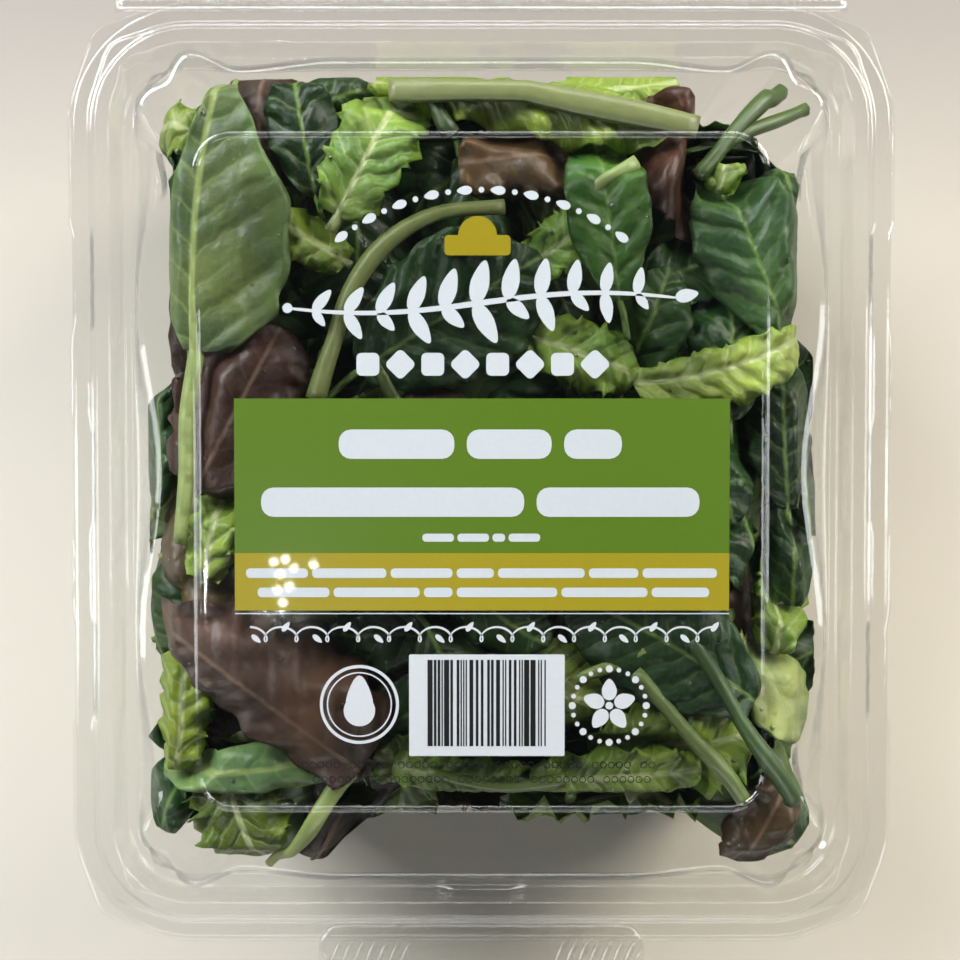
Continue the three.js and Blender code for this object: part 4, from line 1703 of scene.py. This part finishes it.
SHOWN_STALKS: tuple[Stalk, ...] = (
    Stalk(((-24, 107, 11), (-4, 104, 13.6), (26, 97, 13.8), (56, 90.5, 13)), 6.4, 0.45, srgb(134, 140, 90)),
    Stalk(((57, 80, 5), (66, 90, 3), (76, 101, -2), (85, 110.5, -8)), 4.6, colour=srgb(66, 90, 38)),
    Stalk(((60, 84, 3), (70, 91, 1), (81, 97, -4), (91, 101.5, -9)), 3.6, colour=srgb(74, 98, 42)),
    Stalk(((6, 70, 12), (-12, 68, 13), (-26, 60, 13.6), (-34.5, 48, 13.6), (-38.5, 34, 13.2),
           (-43, 20, 12)), 4.8, colour=srgb(150, 160, 96)),
    Stalk(((-17, 106, 6), (-13, 99, 9), (-8, 90, 10)), 4.6, colour=srgb(50, 66, 34)),
    Stalk(((24, 71, 12), (32, 77, 13.4), (40, 82, 12.8)), 3.6, 0.7, srgb(150, 168, 104)),
    Stalk(((55, -43, 13.6), (64, -57, 13.4), (74, -72, 12), (84, -88, 6)), 4.6, colour=srgb(64, 92, 48)),
    Stalk(((40, -51, 12.8), (52, -64, 13), (62, -76, 12), (70, -86, 9)), 4.4, colour=srgb(122, 142, 78)),
    Stalk(((20, -55, 12), (31, -51, 13), (43, -45, 13)), 3.4, 0.8, srgb(132, 150, 74)),
    Stalk(((-35, -78, 10), (-43, -90, 10), (-51, -101, 2), (-59, -112, -8)), 7.0, 0.45, srgb(160, 176, 98),
          tip=0.3),
    Stalk(((-30, 40, 10), (-24, 22, 9), (-10, 8, 7)), 3.6, colour=srgb(104, 122, 60)),
    Stalk(((-14, -78, 9), (4, -83, 8), (22, -80, 9)), 3.2, colour=srgb(110, 128, 62)),
)


class StemBundle:
    """The cut stalks, all in one mesh with the same vein layers as the leaves."""

    sides = 10

    def rods(self, stalks: Sequence[Stalk], room: Room) -> list[dict[str, Array]]:
        """Lists each stalk's tube.

        Args:
            stalks: The stalks, measured from the flange's centre and top.
            room: The space that holds them.

        Returns:
            The tubes, each with its points and its veins' places.
        """
        return [self.rod(stalk, room, number) for number, stalk in enumerate(stalks)]

    def rod(self, stalk: Stalk, room: Room, number: int) -> dict[str, Array]:
        """Makes one stalk's tube, closed at both ends."""
        keys = np.array(stalk.path, float)
        marks = np.linspace(0, 1, len(keys))
        length = np.linalg.norm(np.diff(keys, axis=0), axis=1).sum()
        t = np.linspace(0, 1, max(8, int(length / 2.5)))
        spine = np.column_stack([smooth_curve(marks, keys[:, i], t) for i in range(3)])
        spine[:, :2] += 0.35 * np.column_stack([np.sin(9 * t + number), np.cos(7 * t + 2 * number)])
        taper = np.linspace(0.86, stalk.tip, len(spine))
        spine = room.hold(spine, 0.9 + stalk.thick / 2 * taper)
        ceiling = room.ceiling(spine[:, 0], spine[:, 1]) - stalk.thick / 2 * stalk.flat
        spine[:, 2] = np.minimum(spine[:, 2], ceiling)
        spine = np.vstack([spine[0], spine, spine[-1]])
        way = unit(np.gradient(spine[1:-1], axis=0))
        way = np.vstack([way[0], way, way[-1]])
        side = unit(np.cross(way, (0.0, 0.0, 1.0)))
        up = np.cross(side, way)
        swell = 1 + 0.10 * np.sin(11 * np.linspace(0, 1, len(spine)) + number)
        radius = stalk.thick / 2 * swell * np.linspace(0.86, stalk.tip, len(spine))
        radius[0] = radius[-1] = 0.0
        angle = np.linspace(0, TURN, self.sides + 1)[None, :, None]
        ribbed = 1 + 0.05 * np.cos(5 * angle)
        spread = side[:, None] * np.cos(angle) + stalk.flat * up[:, None] * np.sin(angle)
        points = spine[:, None] + radius[:, None, None] * ribbed * spread
        along = np.linspace(0, length, len(spine))[:, None] + 0 * angle[..., 0]
        ring = 0 * along
        cut = np.zeros(len(spine))
        cut[[0, -1]] = 1.0
        return {"points": points, "along": along, "across": ring + 0.2, "edge": ring + cut[:, None],
                "tint": stalk.colour, "seed": number * 7.3}


def smooth_curve(marks: Array, values: Array, t: Array) -> Array:
    """Runs a smooth curve through the values.

    Args:
        marks: Where each value lies, rising from 0 to 1.
        values: The values.
        t: Where to read the curve.

    Returns:
        The curve's values.
    """
    slopes = np.gradient(values, marks)
    k = np.clip(np.searchsorted(marks, t, side="right") - 1, 0, len(marks) - 2)
    span = marks[k + 1] - marks[k]
    u = (t - marks[k]) / span
    rise = values[k + 1] - values[k]
    start, end = slopes[k] * span, slopes[k + 1] * span
    return values[k] + u * start + u**2 * (3 * rise - 2 * start - end) + u**3 * (start + end - 2 * rise)


# ---- Leaf finishes ----
@dataclass(frozen=True)
class LeafSkin:
    """A leaf's surface: blade colour from its own tint, with ribs, veins and a margin."""

    name: str
    rib: Floats
    margin: Floats
    spacing: float = 6.5
    rib_half: float = 0.9
    roughness: float = 0.38
    vein_share: float = 0.24
    net_share: float = 0.08
    glow: float = 0.22
    puff_share: float = 0.6

    def make(self) -> Material:
        """Builds the material from the leaf's own vein places."""
        s = Shader(self.name)
        blade = s.node("Attribute", attribute_name="blade").outputs["Vector"]
        tint = s.node("Attribute", attribute_name="tint")
        split = s.node("SeparateXYZ", {0: blade}).outputs
        along, across, seed = split[0], split[1], split[2]
        wide = s.math("ABSOLUTE", across)
        flat = s.node("CombineXYZ", {0: along, 1: across, 2: s.scaled(seed, 9.0)}).outputs[0]
        drift = s.scaled(s.math("SUBTRACT", s.noise(flat, 0.16, 2.0), 0.5), 5.0)
        slant = s.math("SUBTRACT", along, s.scaled(wide, 0.8))
        side = s.scaled(s.math("SIGN", across), 0.35)
        phase = s.math("ADD", s.math("DIVIDE", s.math("ADD", slant, drift), self.spacing), side)
        off = s.math("ABSOLUTE", s.math("SUBTRACT", s.math("FRACT", phase), 0.5))
        vein = self.soft(s, off, 0.11, 0.0)
        puff = self.soft(s, off, 0.0, 0.42)
        fade = self.soft(s, wide, 15.0, 1.0)
        vein = s.scaled(vein, s.math("ADD", s.scaled(fade, 0.7), 0.3))
        net_links = {"Vector": flat, "Scale": 0.42, "Randomness": 0.9}
        cells = s.node("TexVoronoi", net_links, feature="DISTANCE_TO_EDGE", voronoi_dimensions="2D")
        net = self.soft(s, cells.outputs["Distance"], 0.09, 0.0)
        rib = self.soft(s, wide, self.rib_half + 0.45, self.rib_half - 0.45)
        mottle = s.noise(flat, 0.22, 4.0)
        stops = ((0.34, (0.55, 0.66, 0.74)), (0.52, (1.0, 1.0, 1.0)), (0.68, (1.32, 1.25, 1.0)))
        broad = s.ramp(s.noise(flat, 0.045, 2.0), stops)
        own = s.node("VectorMath", {0: tint.outputs["Color"], 1: broad}, operation="MULTIPLY").outputs[0]
        base = s.mix(s.scaled(mottle, 0.36), own, (0.006, 0.012, 0.004, 1.0))
        edge = s.math("POWER", tint.outputs["Alpha"], 3.5)
        base = s.mix(s.scaled(edge, 0.55), base, self.margin)
        base = s.mix(s.scaled(net, self.net_share), base, self.rib)
        base = s.mix(s.scaled(vein, self.vein_share), base, self.rib)
        base = s.mix(s.scaled(rib, 0.6), base, self.rib)
        relief = s.math("ADD", s.scaled(mottle, 0.5), s.scaled(puff, self.puff_share))
        skin = s.coat(base, self.roughness, s.bump(relief, 0.9, 0.0011))
        skin.inputs["Specular IOR Level"].default_value = 0.38
        lit = s.mix(0.35, base, (0.24, 0.42, 0.03, 1.0))
        through = s.node("BsdfTranslucent", {"Color": lit}).outputs[0]
        surface = s.node("MixShader", {0: self.glow, 1: skin.outputs[0], 2: through})
        return s.finish(surface.outputs[0])

    def soft(self, s: Shader, value: Socket, none: float, full: float) -> Socket:
        """Falls from 1 at full to 0 at none."""
        links = {"Value": value, "From Min": none, "From Max": full}
        return s.node("MapRange", links, interpolation_type="SMOOTHSTEP").outputs[0]


class CutStalkSkin:
    """A smooth stalk with faint lengthwise grooves and a pale cut end."""

    def make(self) -> Material:
        """Builds the material."""
        s = Shader("cut_stalk")
        tint = s.node("Attribute", attribute_name="tint")
        streak = s.noise(s.place(), 260.0, 3.0)
        base = s.mix(s.scaled(streak, 0.45), tint.outputs["Color"], (0.06, 0.10, 0.02, 1.0))
        base = s.mix(s.scaled(tint.outputs["Alpha"], 0.7), base, srgb(206, 212, 168))
        return s.finish(s.coat(base, 0.36, s.bump(streak, 0.4, 0.0004)).outputs[0])


class PaintedShadeCore:
    """The hidden core of the heap, painted almost black as painted shade for the leaves that lie in shade
    deep inside it.
    """

    def make(self) -> Material:
        """Builds the material."""
        s = Shader("leaf_core_painted_shade")
        tone = s.noise(s.place(), 90.0, 4.0)
        # Near-black greens: painted shade for the shaded depths of the heap.
        stops = ((0.35, srgb(12, 20, 9)[:3]), (0.55, srgb(26, 40, 18)[:3]), (0.72, srgb(52, 70, 30)[:3]))
        base = s.ramp(tone, stops)
        return s.finish(s.coat(base, 0.6, s.bump(tone, 1.0, 0.003)).outputs[0])


class WaterDrop:
    """A clear bead of water."""

    def make(self) -> Material:
        """Builds the material."""
        s = Shader("water")
        return s.glaze((0.93, 0.96, 0.95, 1.0), s.node("Fresnel", {"IOR": 1.6}).outputs[0], 0.03)


# ---- The heap ----
@dataclass
class FillPlan:
    """How a face is filled with further leaves under the ones that show most."""

    kinds: tuple[tuple[Kind, float], ...]
    cover: float
    most: int
    drop: Pair
    # tone is the range of colour scales; on the top face it darkens the fillers as painted shade.
    tone: Pair
    length: Pair = (34.0, 58.0)
    slim: Pair = (0.48, 0.66)
    rows: int = 17
    columns: int = 11


VEIN_KEYS = ("along", "across", "edge")


class LeafMesh:
    """Collects the leaves of one kind into one mesh with its vein layers."""

    def __init__(self, shift: Vector) -> None:
        """Starts an empty mesh, with the move from the pack's flange centre to the frame."""
        self.shift = np.array(shift)
        self.bm = bmesh.new()
        self.veins = self.bm.verts.layers.float_vector.new("blade")
        self.tints = self.bm.verts.layers.float_color.new("tint")

    def add_blade(self, part: dict, thickness: float, tint: Array, seed: float) -> None:
        """Adds one blade as a thin closed slab.

        Args:
            part: The points of its upper face and its veins' places.
            thickness: How thick it is.
            tint: Its linear colour.
            seed: A number that sets its mottling apart.
        """
        top = part["points"]
        normal = unit(np.cross(np.gradient(top, axis=1), np.gradient(top, axis=0)))
        under = top - thickness * normal
        middle = (top + under) / 2
        upper = np.concatenate([middle[:1], top, middle[-1:]])
        lower = np.concatenate([middle[:1], under, middle[-1:]])
        slab = {"points": np.concatenate([upper, lower[:, ::-1], upper[:, :1]], axis=1)}
        for key in VEIN_KEYS:
            values = np.broadcast_to(part[key], top.shape[:2])
            values = np.concatenate([values[:1], values, values[-1:]])
            slab[key] = np.concatenate([values, values[:, ::-1], values[:, :1]], axis=1)
        self.add(slab, tint, seed)

    def add(self, part: dict, tint: Array, seed: float) -> None:
        """Adds one sheet or tube.

        Args:
            part: Its points and its veins' places.
            tint: Its linear colour.
            seed: A number that sets its mottling apart.
        """
        made = lay_grid(self.bm, part["points"] + self.shift)
        size = part["points"].shape[:2]
        places = (np.broadcast_to(part[key], size).ravel() for key in VEIN_KEYS)
        for vert, a, c, e in zip(made, *places):
            vert[self.veins] = (a, c, seed)
            vert[self.tints] = (tint[0], tint[1], tint[2], e)


@dataclass
class LeafHeap:
    """All the leaves: shown ones, fillers against each clear face, stalks, core and drops."""

    pack: PackFrame
    seed: int = 1587
    leaf_thickness: float = 0.34
    drops: int = 420
    drop_radii: Floats = (0.35, 0.5, 0.75, 1.0)
    drop_shares: Floats = (0.4, 0.32, 0.2, 0.08)
    drop_flatness: float = 0.55
    drop_lift: float = 0.15

    def __post_init__(self) -> None:
        """Opens the room and its three faces."""
        self.room = Room(self.pack)
        self.rng = np.random.default_rng(self.seed)
        self.shift = Vector((0.0, self.pack.centre_y, self.pack.flange_top))
        self.faces = {"top": TopFace(self.room), "wall": WallFace(self.room), "floor": FloorFace(self.room)}
        self.laid: dict[Kind, list] = {kind: [] for kind in Kind}
        self.shown: list[Array] = []

    def plans(self) -> dict[str, FillPlan]:
        """Says how each face is filled."""
        mix = ((SPINACH, 0.56), (GREEN, 0.22), (SAGE, 0.10), (RED, 0.12))
        return {
            # The top fillers' low tones are painted shade for leaves lying under the shown ones; the wall
            # and floor fillers stay lighter.
            "top": FillPlan(mix, 2.0, 110, (-7.0, -0.2), (0.28, 0.75)),
            "wall": FillPlan(mix, 1.0, 120, (-3.0, -0.2), (0.5, 1.05), (38.0, 62.0), rows=13, columns=9),
            "floor": FillPlan(mix, 1.0, 60, (-2.0, -0.2), (0.5, 1.0), (40.0, 64.0), rows=13, columns=9),
        }

    def colour(self, leaf: Leaf) -> Array:
        """Gives a leaf its own shade of its kind's colour."""
        form = FORMS[leaf.kind]
        spread = self.rng.normal(0.0, form.tone_spread * 0.5)
        warm = self.rng.normal(0.0, 0.06)
        tone = leaf.tone * math.exp(spread)
        return np.array(form.blade[:3]) * tone * np.array(leaf.cast) * np.array((1 + warm, 1.0, 1 - warm))

    def keep(self, leaf: Leaf, parts: list[dict]) -> None:
        """Stores a laid leaf with its colour."""
        tint = self.colour(leaf)
        self.laid[leaf.kind].append((parts, tint, parts[0]["shape"].seed))

    def lay_shown(self) -> None:
        """Lays the leaves that show most under the lid."""
        for leaf in SHOWN_LEAVES:
            big = replace(leaf, rows=int(leaf.size[0] / 1.7) + 6, columns=21)
            parts = self.faces["top"].lay(big, self.rng)
            self.keep(leaf, parts)
            self.shown.append(parts[0]["points"])

    def fill(self, name: str, plan: FillPlan) -> None:
        """Lays further leaves on a face until it is covered.

        Args:
            name: The face's name.
            plan: How to fill it.
        """
        face = self.faces[name]
        kinds = [kind for kind, _ in plan.kinds]
        shares = [share for _, share in plan.kinds]
        for count in range(plan.most):
            at, cover = face.bare_place(self.rng)
            if cover >= plan.cover:
                break
            kind = kinds[self.rng.choice(len(kinds), p=shares)]
            length = self.rng.uniform(*plan.length) * (0.8 if kind is GREEN else 1.0)
            width = length * self.rng.uniform(*plan.slim)
            leaf = Leaf(
                kind, at, (length, width), float(self.rng.uniform(0, 360)),
                top=float(self.rng.uniform(*plan.drop)), arch=float(self.rng.uniform(0.5, 4.0)),
                roll=float(self.rng.uniform(-14, 14)), fold=float(self.rng.uniform(-0.2, 0.3)),
                sweep=float(self.rng.uniform(-4, 4)),
                petiole=float(self.rng.uniform(0.2, 1.0)) * FORMS[kind].petiole,
                tone=float(self.rng.uniform(*plan.tone)), rows=plan.rows, columns=plan.columns,
            )
            self.keep(leaf, face.lay(leaf, self.rng, pressed=True))
        LOG.info("%s face filled with %d leaves", name, count)

    def leaf_piece(self, kind: Kind) -> Piece:
        """Builds the one mesh of a kind: thick blades, then round ribs."""
        mesh = LeafMesh(self.shift)
        rib = np.array(FORMS[kind].rib[:3])
        for parts, tint, seed in self.laid[kind]:
            mesh.add_blade(parts[0], self.leaf_thickness, tint, seed)
            mesh.add(parts[1], 0.7 * tint + 0.3 * rib, seed)
        merge_seams(mesh.bm)
        return to_object(mesh.bm, kind.value)

    def stalk_piece(self) -> Piece:
        """Builds the cut stalks."""
        mesh = LeafMesh(self.shift)
        for rod in StemBundle().rods(SHOWN_STALKS, self.room):
            mesh.add(rod, np.array(rod["tint"][:3]), rod["seed"])
        merge_seams(mesh.bm)
        bmesh.ops.recalc_face_normals(mesh.bm, faces=mesh.bm.faces[:])
        return to_object(mesh.bm, "cut_stalks")

    def depth_of(self, name: str, a: Array, b: Array, bare: float) -> Array:
        """Reads how deep the leaves of a face reach, with a set depth where there are none."""
        face = self.faces[name]
        full = face.field
        face.field = np.where(face.cover > 0, full - 1.2, face.plastic(face.a, face.b) - bare)
        eased = face.eased()
        face.field = full
        return face.sample(eased, a, b)

    def core_piece(self) -> Piece:
        """Builds the closed mass behind the leaves of all three faces."""
        room = self.room
        s = np.linspace(0.0, room.perimeter(), 241)
        levels = np.linspace(-70.0, -8.0, 16)
        walls = []
        for level in levels:
            b = np.full_like(s, level)
            depth = -self.depth_of("wall", s[:-1], b[:-1], 10.0)
            depth = np.append(depth, depth[0])
            walls.append(room.wall_point(s, b, np.maximum(depth, 4.0)))
        shares = np.linspace(0.06, 0.97, 14)
        under, over = [], []
        for share in shares:
            ring = walls[0] * (share, share, 1.0)
            ring[:, 2] = -self.depth_of("floor", ring[:, 0], ring[:, 1], 8.0) - self.pack.flange_top + 1.0
            under.append(ring)
        for share in shares[::-1]:
            ring = walls[-1] * (share, share, 1.0)
            ring[:, 2] = self.depth_of("top", ring[:, 0], ring[:, 1], 12.0)
            over.append(ring)
        points = self.room.clear(np.array(under + walls + over), 0.97)
        bm = bmesh.new()
        lay_grid(bm, points + np.array(self.shift))
        merge_seams(bm)
        fill_holes(bm, lambda p: True)
        bmesh.ops.recalc_face_normals(bm, faces=bm.faces[:])
        # The core mass is finished near-black as painted shade.
        return to_object(bm, "leaf_core_painted_shade")

    def drop_piece(self) -> Piece:
        """Scatters beads of water over the shown leaves."""
        bm = bmesh.new()
        for _ in range(self.drops):
            sheet = self.shown[self.rng.integers(len(self.shown))]
            i, j = self.rng.integers(1, sheet.shape[0] - 1), self.rng.integers(1, sheet.shape[1] - 1)
            point = sheet[i, j] + np.array(self.shift)
            normal = unit(np.cross(sheet[i + 1, j] - sheet[i - 1, j], sheet[i, j + 1] - sheet[i, j - 1]))
            normal = normal * np.sign(normal[2] or 1.0)
            radius = float(self.rng.choice(self.drop_radii, p=self.drop_shares))
            turn = Vector(normal).to_track_quat("Z", "Y").to_matrix().to_4x4()
            spot = Matrix.Translation(Vector(point + normal * self.drop_lift) * MM) @ turn
            size = Matrix.Diagonal((radius * MM, radius * MM, self.drop_flatness * radius * MM, 1.0))
            bmesh.ops.create_uvsphere(bm, u_segments=8, v_segments=5, radius=1.0, matrix=spot @ size)
        return to_object(bm, "water_drops")

    def make(self) -> None:
        """Lays, builds and dresses the heap."""
        self.lay_shown()
        for name, plan in self.plans().items():
            self.fill(name, plan)
        spacing = {SPINACH: 7.0, SAGE: 8.5, GREEN: 5.5, RED: 6.0}
        puff = {SPINACH: 0.6, SAGE: 0.3, GREEN: 0.5, RED: 0.15}
        for kind in Kind:
            form = FORMS[kind]
            skin = LeafSkin(
                kind.name.lower(), form.rib, form.margin, spacing[kind], 0.4 * form.rib_radius + 0.15,
                vein_share=0.12 if kind is RED else 0.24, puff_share=puff[kind],
            )
            place(self.leaf_piece(kind), "tray", "leaves", skin.make(), ["leaves"])
        for build, finish in (
            (self.stalk_piece, CutStalkSkin),
            (self.core_piece, PaintedShadeCore),
            (self.drop_piece, WaterDrop),
        ):
            place(build(), "tray", "leaves", finish().make(), ["leaves"])


# ---- Studio ----
@dataclass(frozen=True)
class Lamp:
    """One soft lamp: its place and its two sides in metres, its power in watts, its linear colour."""

    name: str
    at: tuple[float, float, float]
    size: Pair
    power: float
    colour: tuple[float, float, float]
    lights_things: bool = True

    def hang(self) -> None:
        """Hangs the lamp so that it faces the pack."""
        data = bpy.data.lights.new(self.name, "AREA")
        data.shape = "RECTANGLE"
        data.size, data.size_y = self.size
        data.energy = self.power
        data.color = self.colour
        piece = bpy.data.objects.new(self.name, data)
        aim = Vector((0.0, 0.0, 0.05))
        piece.location = self.at
        piece.rotation_euler = (Vector(self.at) - aim).to_track_quat("Z", "Y").to_euler()
        piece.visible_diffuse = self.lights_things
        bpy.context.scene.collection.objects.link(piece)


SOFT_LAMPS: tuple[Lamp, ...] = (
    Lamp("window", (-0.72, 0.64, 0.72), (0.6, 0.5), 16.5, (0.91, 0.95, 1.0)),
    Lamp("sky", (0.1, 0.95, 0.7), (1.0, 0.4), 5.0, (0.97, 0.98, 1.0)),
    Lamp("fill", (0.78, 0.58, 0.62), (0.5, 0.5), 11.5, (1.0, 0.96, 0.88)),
    Lamp("front", (0.0, -0.9, 0.5), (0.9, 0.25), 0.2, (1.0, 0.97, 0.92)),
)
# Small lamps that glint on the film, each moved this far in millimetres from their middle.
GLINT_MIDDLE = (-0.152, -0.106, 0.82)
GLINT_MOVES = ((-11, 24), (-2, 26), (5, 19), (-6, 14), (1, 5), (-8, 2), (-4, -8), (20, 22))
GLINT_SIDE, GLINT_POWER = 0.006, 0.012
# Long strips that draw bright lines along the plastic's edges and light nothing else.
STRIP_PLACES = (
    ("front_strip", (0.0, -0.95, 0.62), (1.2, 0.3)),
    ("right_strip", (0.95, 0.0, 0.66), (0.3, 1.2)),
    ("left_strip", (-0.95, -0.1, 0.66), (0.3, 1.2)),
    ("hinge_strip", (0.0, 0.98, 0.66), (1.2, 0.3)),
)
STRIP_POWER, STRIP_COLOUR = 6.0, (0.95, 0.98, 1.0)


@dataclass
class Studio:
    """The camera over the lid, the pale floor and the soft window-like light."""

    pack: PackFrame
    distance: float = 372.0
    lens: float = 51.55
    lean_deg: float = 1.6
    frame_shift: Pair = (-0.0015, -0.0045)

    def camera(self) -> None:
        """Hangs the camera over the pack, leaning a little to the hinge."""
        data = bpy.data.cameras.new("camera")
        data.lens = self.lens
        data.sensor_width = 36.0
        data.clip_start, data.clip_end = 0.01, 20.0
        data.shift_x, data.shift_y = self.frame_shift
        piece = bpy.data.objects.new("camera", data)
        lean = math.radians(self.lean_deg)
        aim = Vector((0.0, self.pack.centre_y, self.pack.flange_top)) * MM
        piece.location = aim + Vector((0.0, math.sin(lean), math.cos(lean))) * self.distance * MM
        piece.rotation_euler = (-lean, 0.0, 0.0)
        bpy.context.scene.collection.objects.link(piece)
        bpy.context.scene.camera = piece

    def lights(self) -> None:
        """Sets the cool window light, the warm fill and the small lamps that glint."""
        for lamp in SOFT_LAMPS:
            lamp.hang()
        x, y, z = GLINT_MIDDLE
        for i, (dx, dy) in enumerate(GLINT_MOVES):
            at = (x + dx * MM, y + dy * MM, z)
            Lamp(f"glint_{i}", at, (GLINT_SIDE, GLINT_SIDE), GLINT_POWER, CLEAR_WHITE[:3]).hang()
        for name, at, size in STRIP_PLACES:
            Lamp(name, at, size, STRIP_POWER, STRIP_COLOUR, lights_things=False).hang()
        bpy.context.scene.world = self.room_light()

    def room_light(self) -> bpy.types.World:
        """Makes the room's own light: bright near the horizon, dim straight up."""
        world = bpy.data.worlds.new("world")
        world.use_nodes = True
        nodes, links = world.node_tree.nodes, world.node_tree.links
        place_on, split = nodes.new("ShaderNodeTexCoord"), nodes.new("ShaderNodeSeparateXYZ")
        ramp, shade = nodes.new("ShaderNodeValToRGB"), nodes["Background"]
        stops = ramp.color_ramp.elements
        stops[0].position, stops[0].color = 0.12, (0.26, 0.26, 0.255, 1.0)
        stops[1].position, stops[1].color = 0.80, (0.028, 0.030, 0.032, 1.0)
        stops.new(0.45).color = (0.14, 0.145, 0.15, 1.0)
        links.new(place_on.outputs["Generated"], split.inputs[0])
        links.new(split.outputs["Z"], ramp.inputs["Fac"])
        links.new(ramp.outputs["Color"], shade.inputs["Color"])
        shade.inputs["Strength"].default_value = 0.9
        return world

    def floor(self) -> None:
        """Lays the pale surface under the pack, with painted shade that darkens it towards the far side."""
        bm = bmesh.new()
        bmesh.ops.create_grid(bm, x_segments=8, y_segments=8, size=1.6)
        bmesh.ops.translate(bm, verts=bm.verts[:], vec=(0.0, 0.0, -0.0004))
        piece = to_object(bm, "floor")
        s = Shader("floor")
        stops = ((0.3, srgb(247, 237, 218)[:3]), (0.7, srgb(252, 243, 225)[:3]))
        tone = s.ramp(s.noise(s.place(), 2.0, 2.0), stops)
        # Painted shade: the floor's colour darkens towards +y, behind the pack.
        far = s.node("SeparateXYZ", {0: s.place()}).outputs["Y"]
        links = {"Value": far, "From Min": -0.1, "From Max": 0.24}
        share = s.node("MapRange", links, interpolation_type="SMOOTHSTEP").outputs[0]
        tone = s.mix(share, tone, srgb(134, 126, 121))
        piece.data.materials.append(s.finish(s.coat(tone, 0.6).outputs[0]))

    def make(self) -> None:
        """Sets the camera, the floor and the lights."""
        self.camera()
        self.floor()
        self.lights()
        scene = bpy.context.scene
        scene.view_settings.view_transform = "Standard"
        scene.cycles.transparent_max_bounces = 22
        scene.cycles.max_bounces = 4
        scene.cycles.diffuse_bounces = 1
        scene.cycles.glossy_bounces = 2
        scene.cycles.adaptive_threshold = 0.1


# ---- The whole ----
def main() -> None:
    """Builds every piece around the frame."""
    logging.basicConfig(level=logging.INFO, format="%(name)s: %(message)s")
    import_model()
    pack = PackFrame.read()
    Studio(pack).make()
    plastic = ClearPlastic().make()
    place(Tray(pack).make(), "tray", "clear_plastic", plastic, ["tray"])
    place(Lid(pack).make(), "lid", "clear_plastic", plastic, ["lid"])
    place(HingeFilm(pack).make(), "", "clear_plastic", plastic)
    LabelSheet(pack).make()
    LeafHeap(pack).make()


if __name__ == "__main__":
    main()
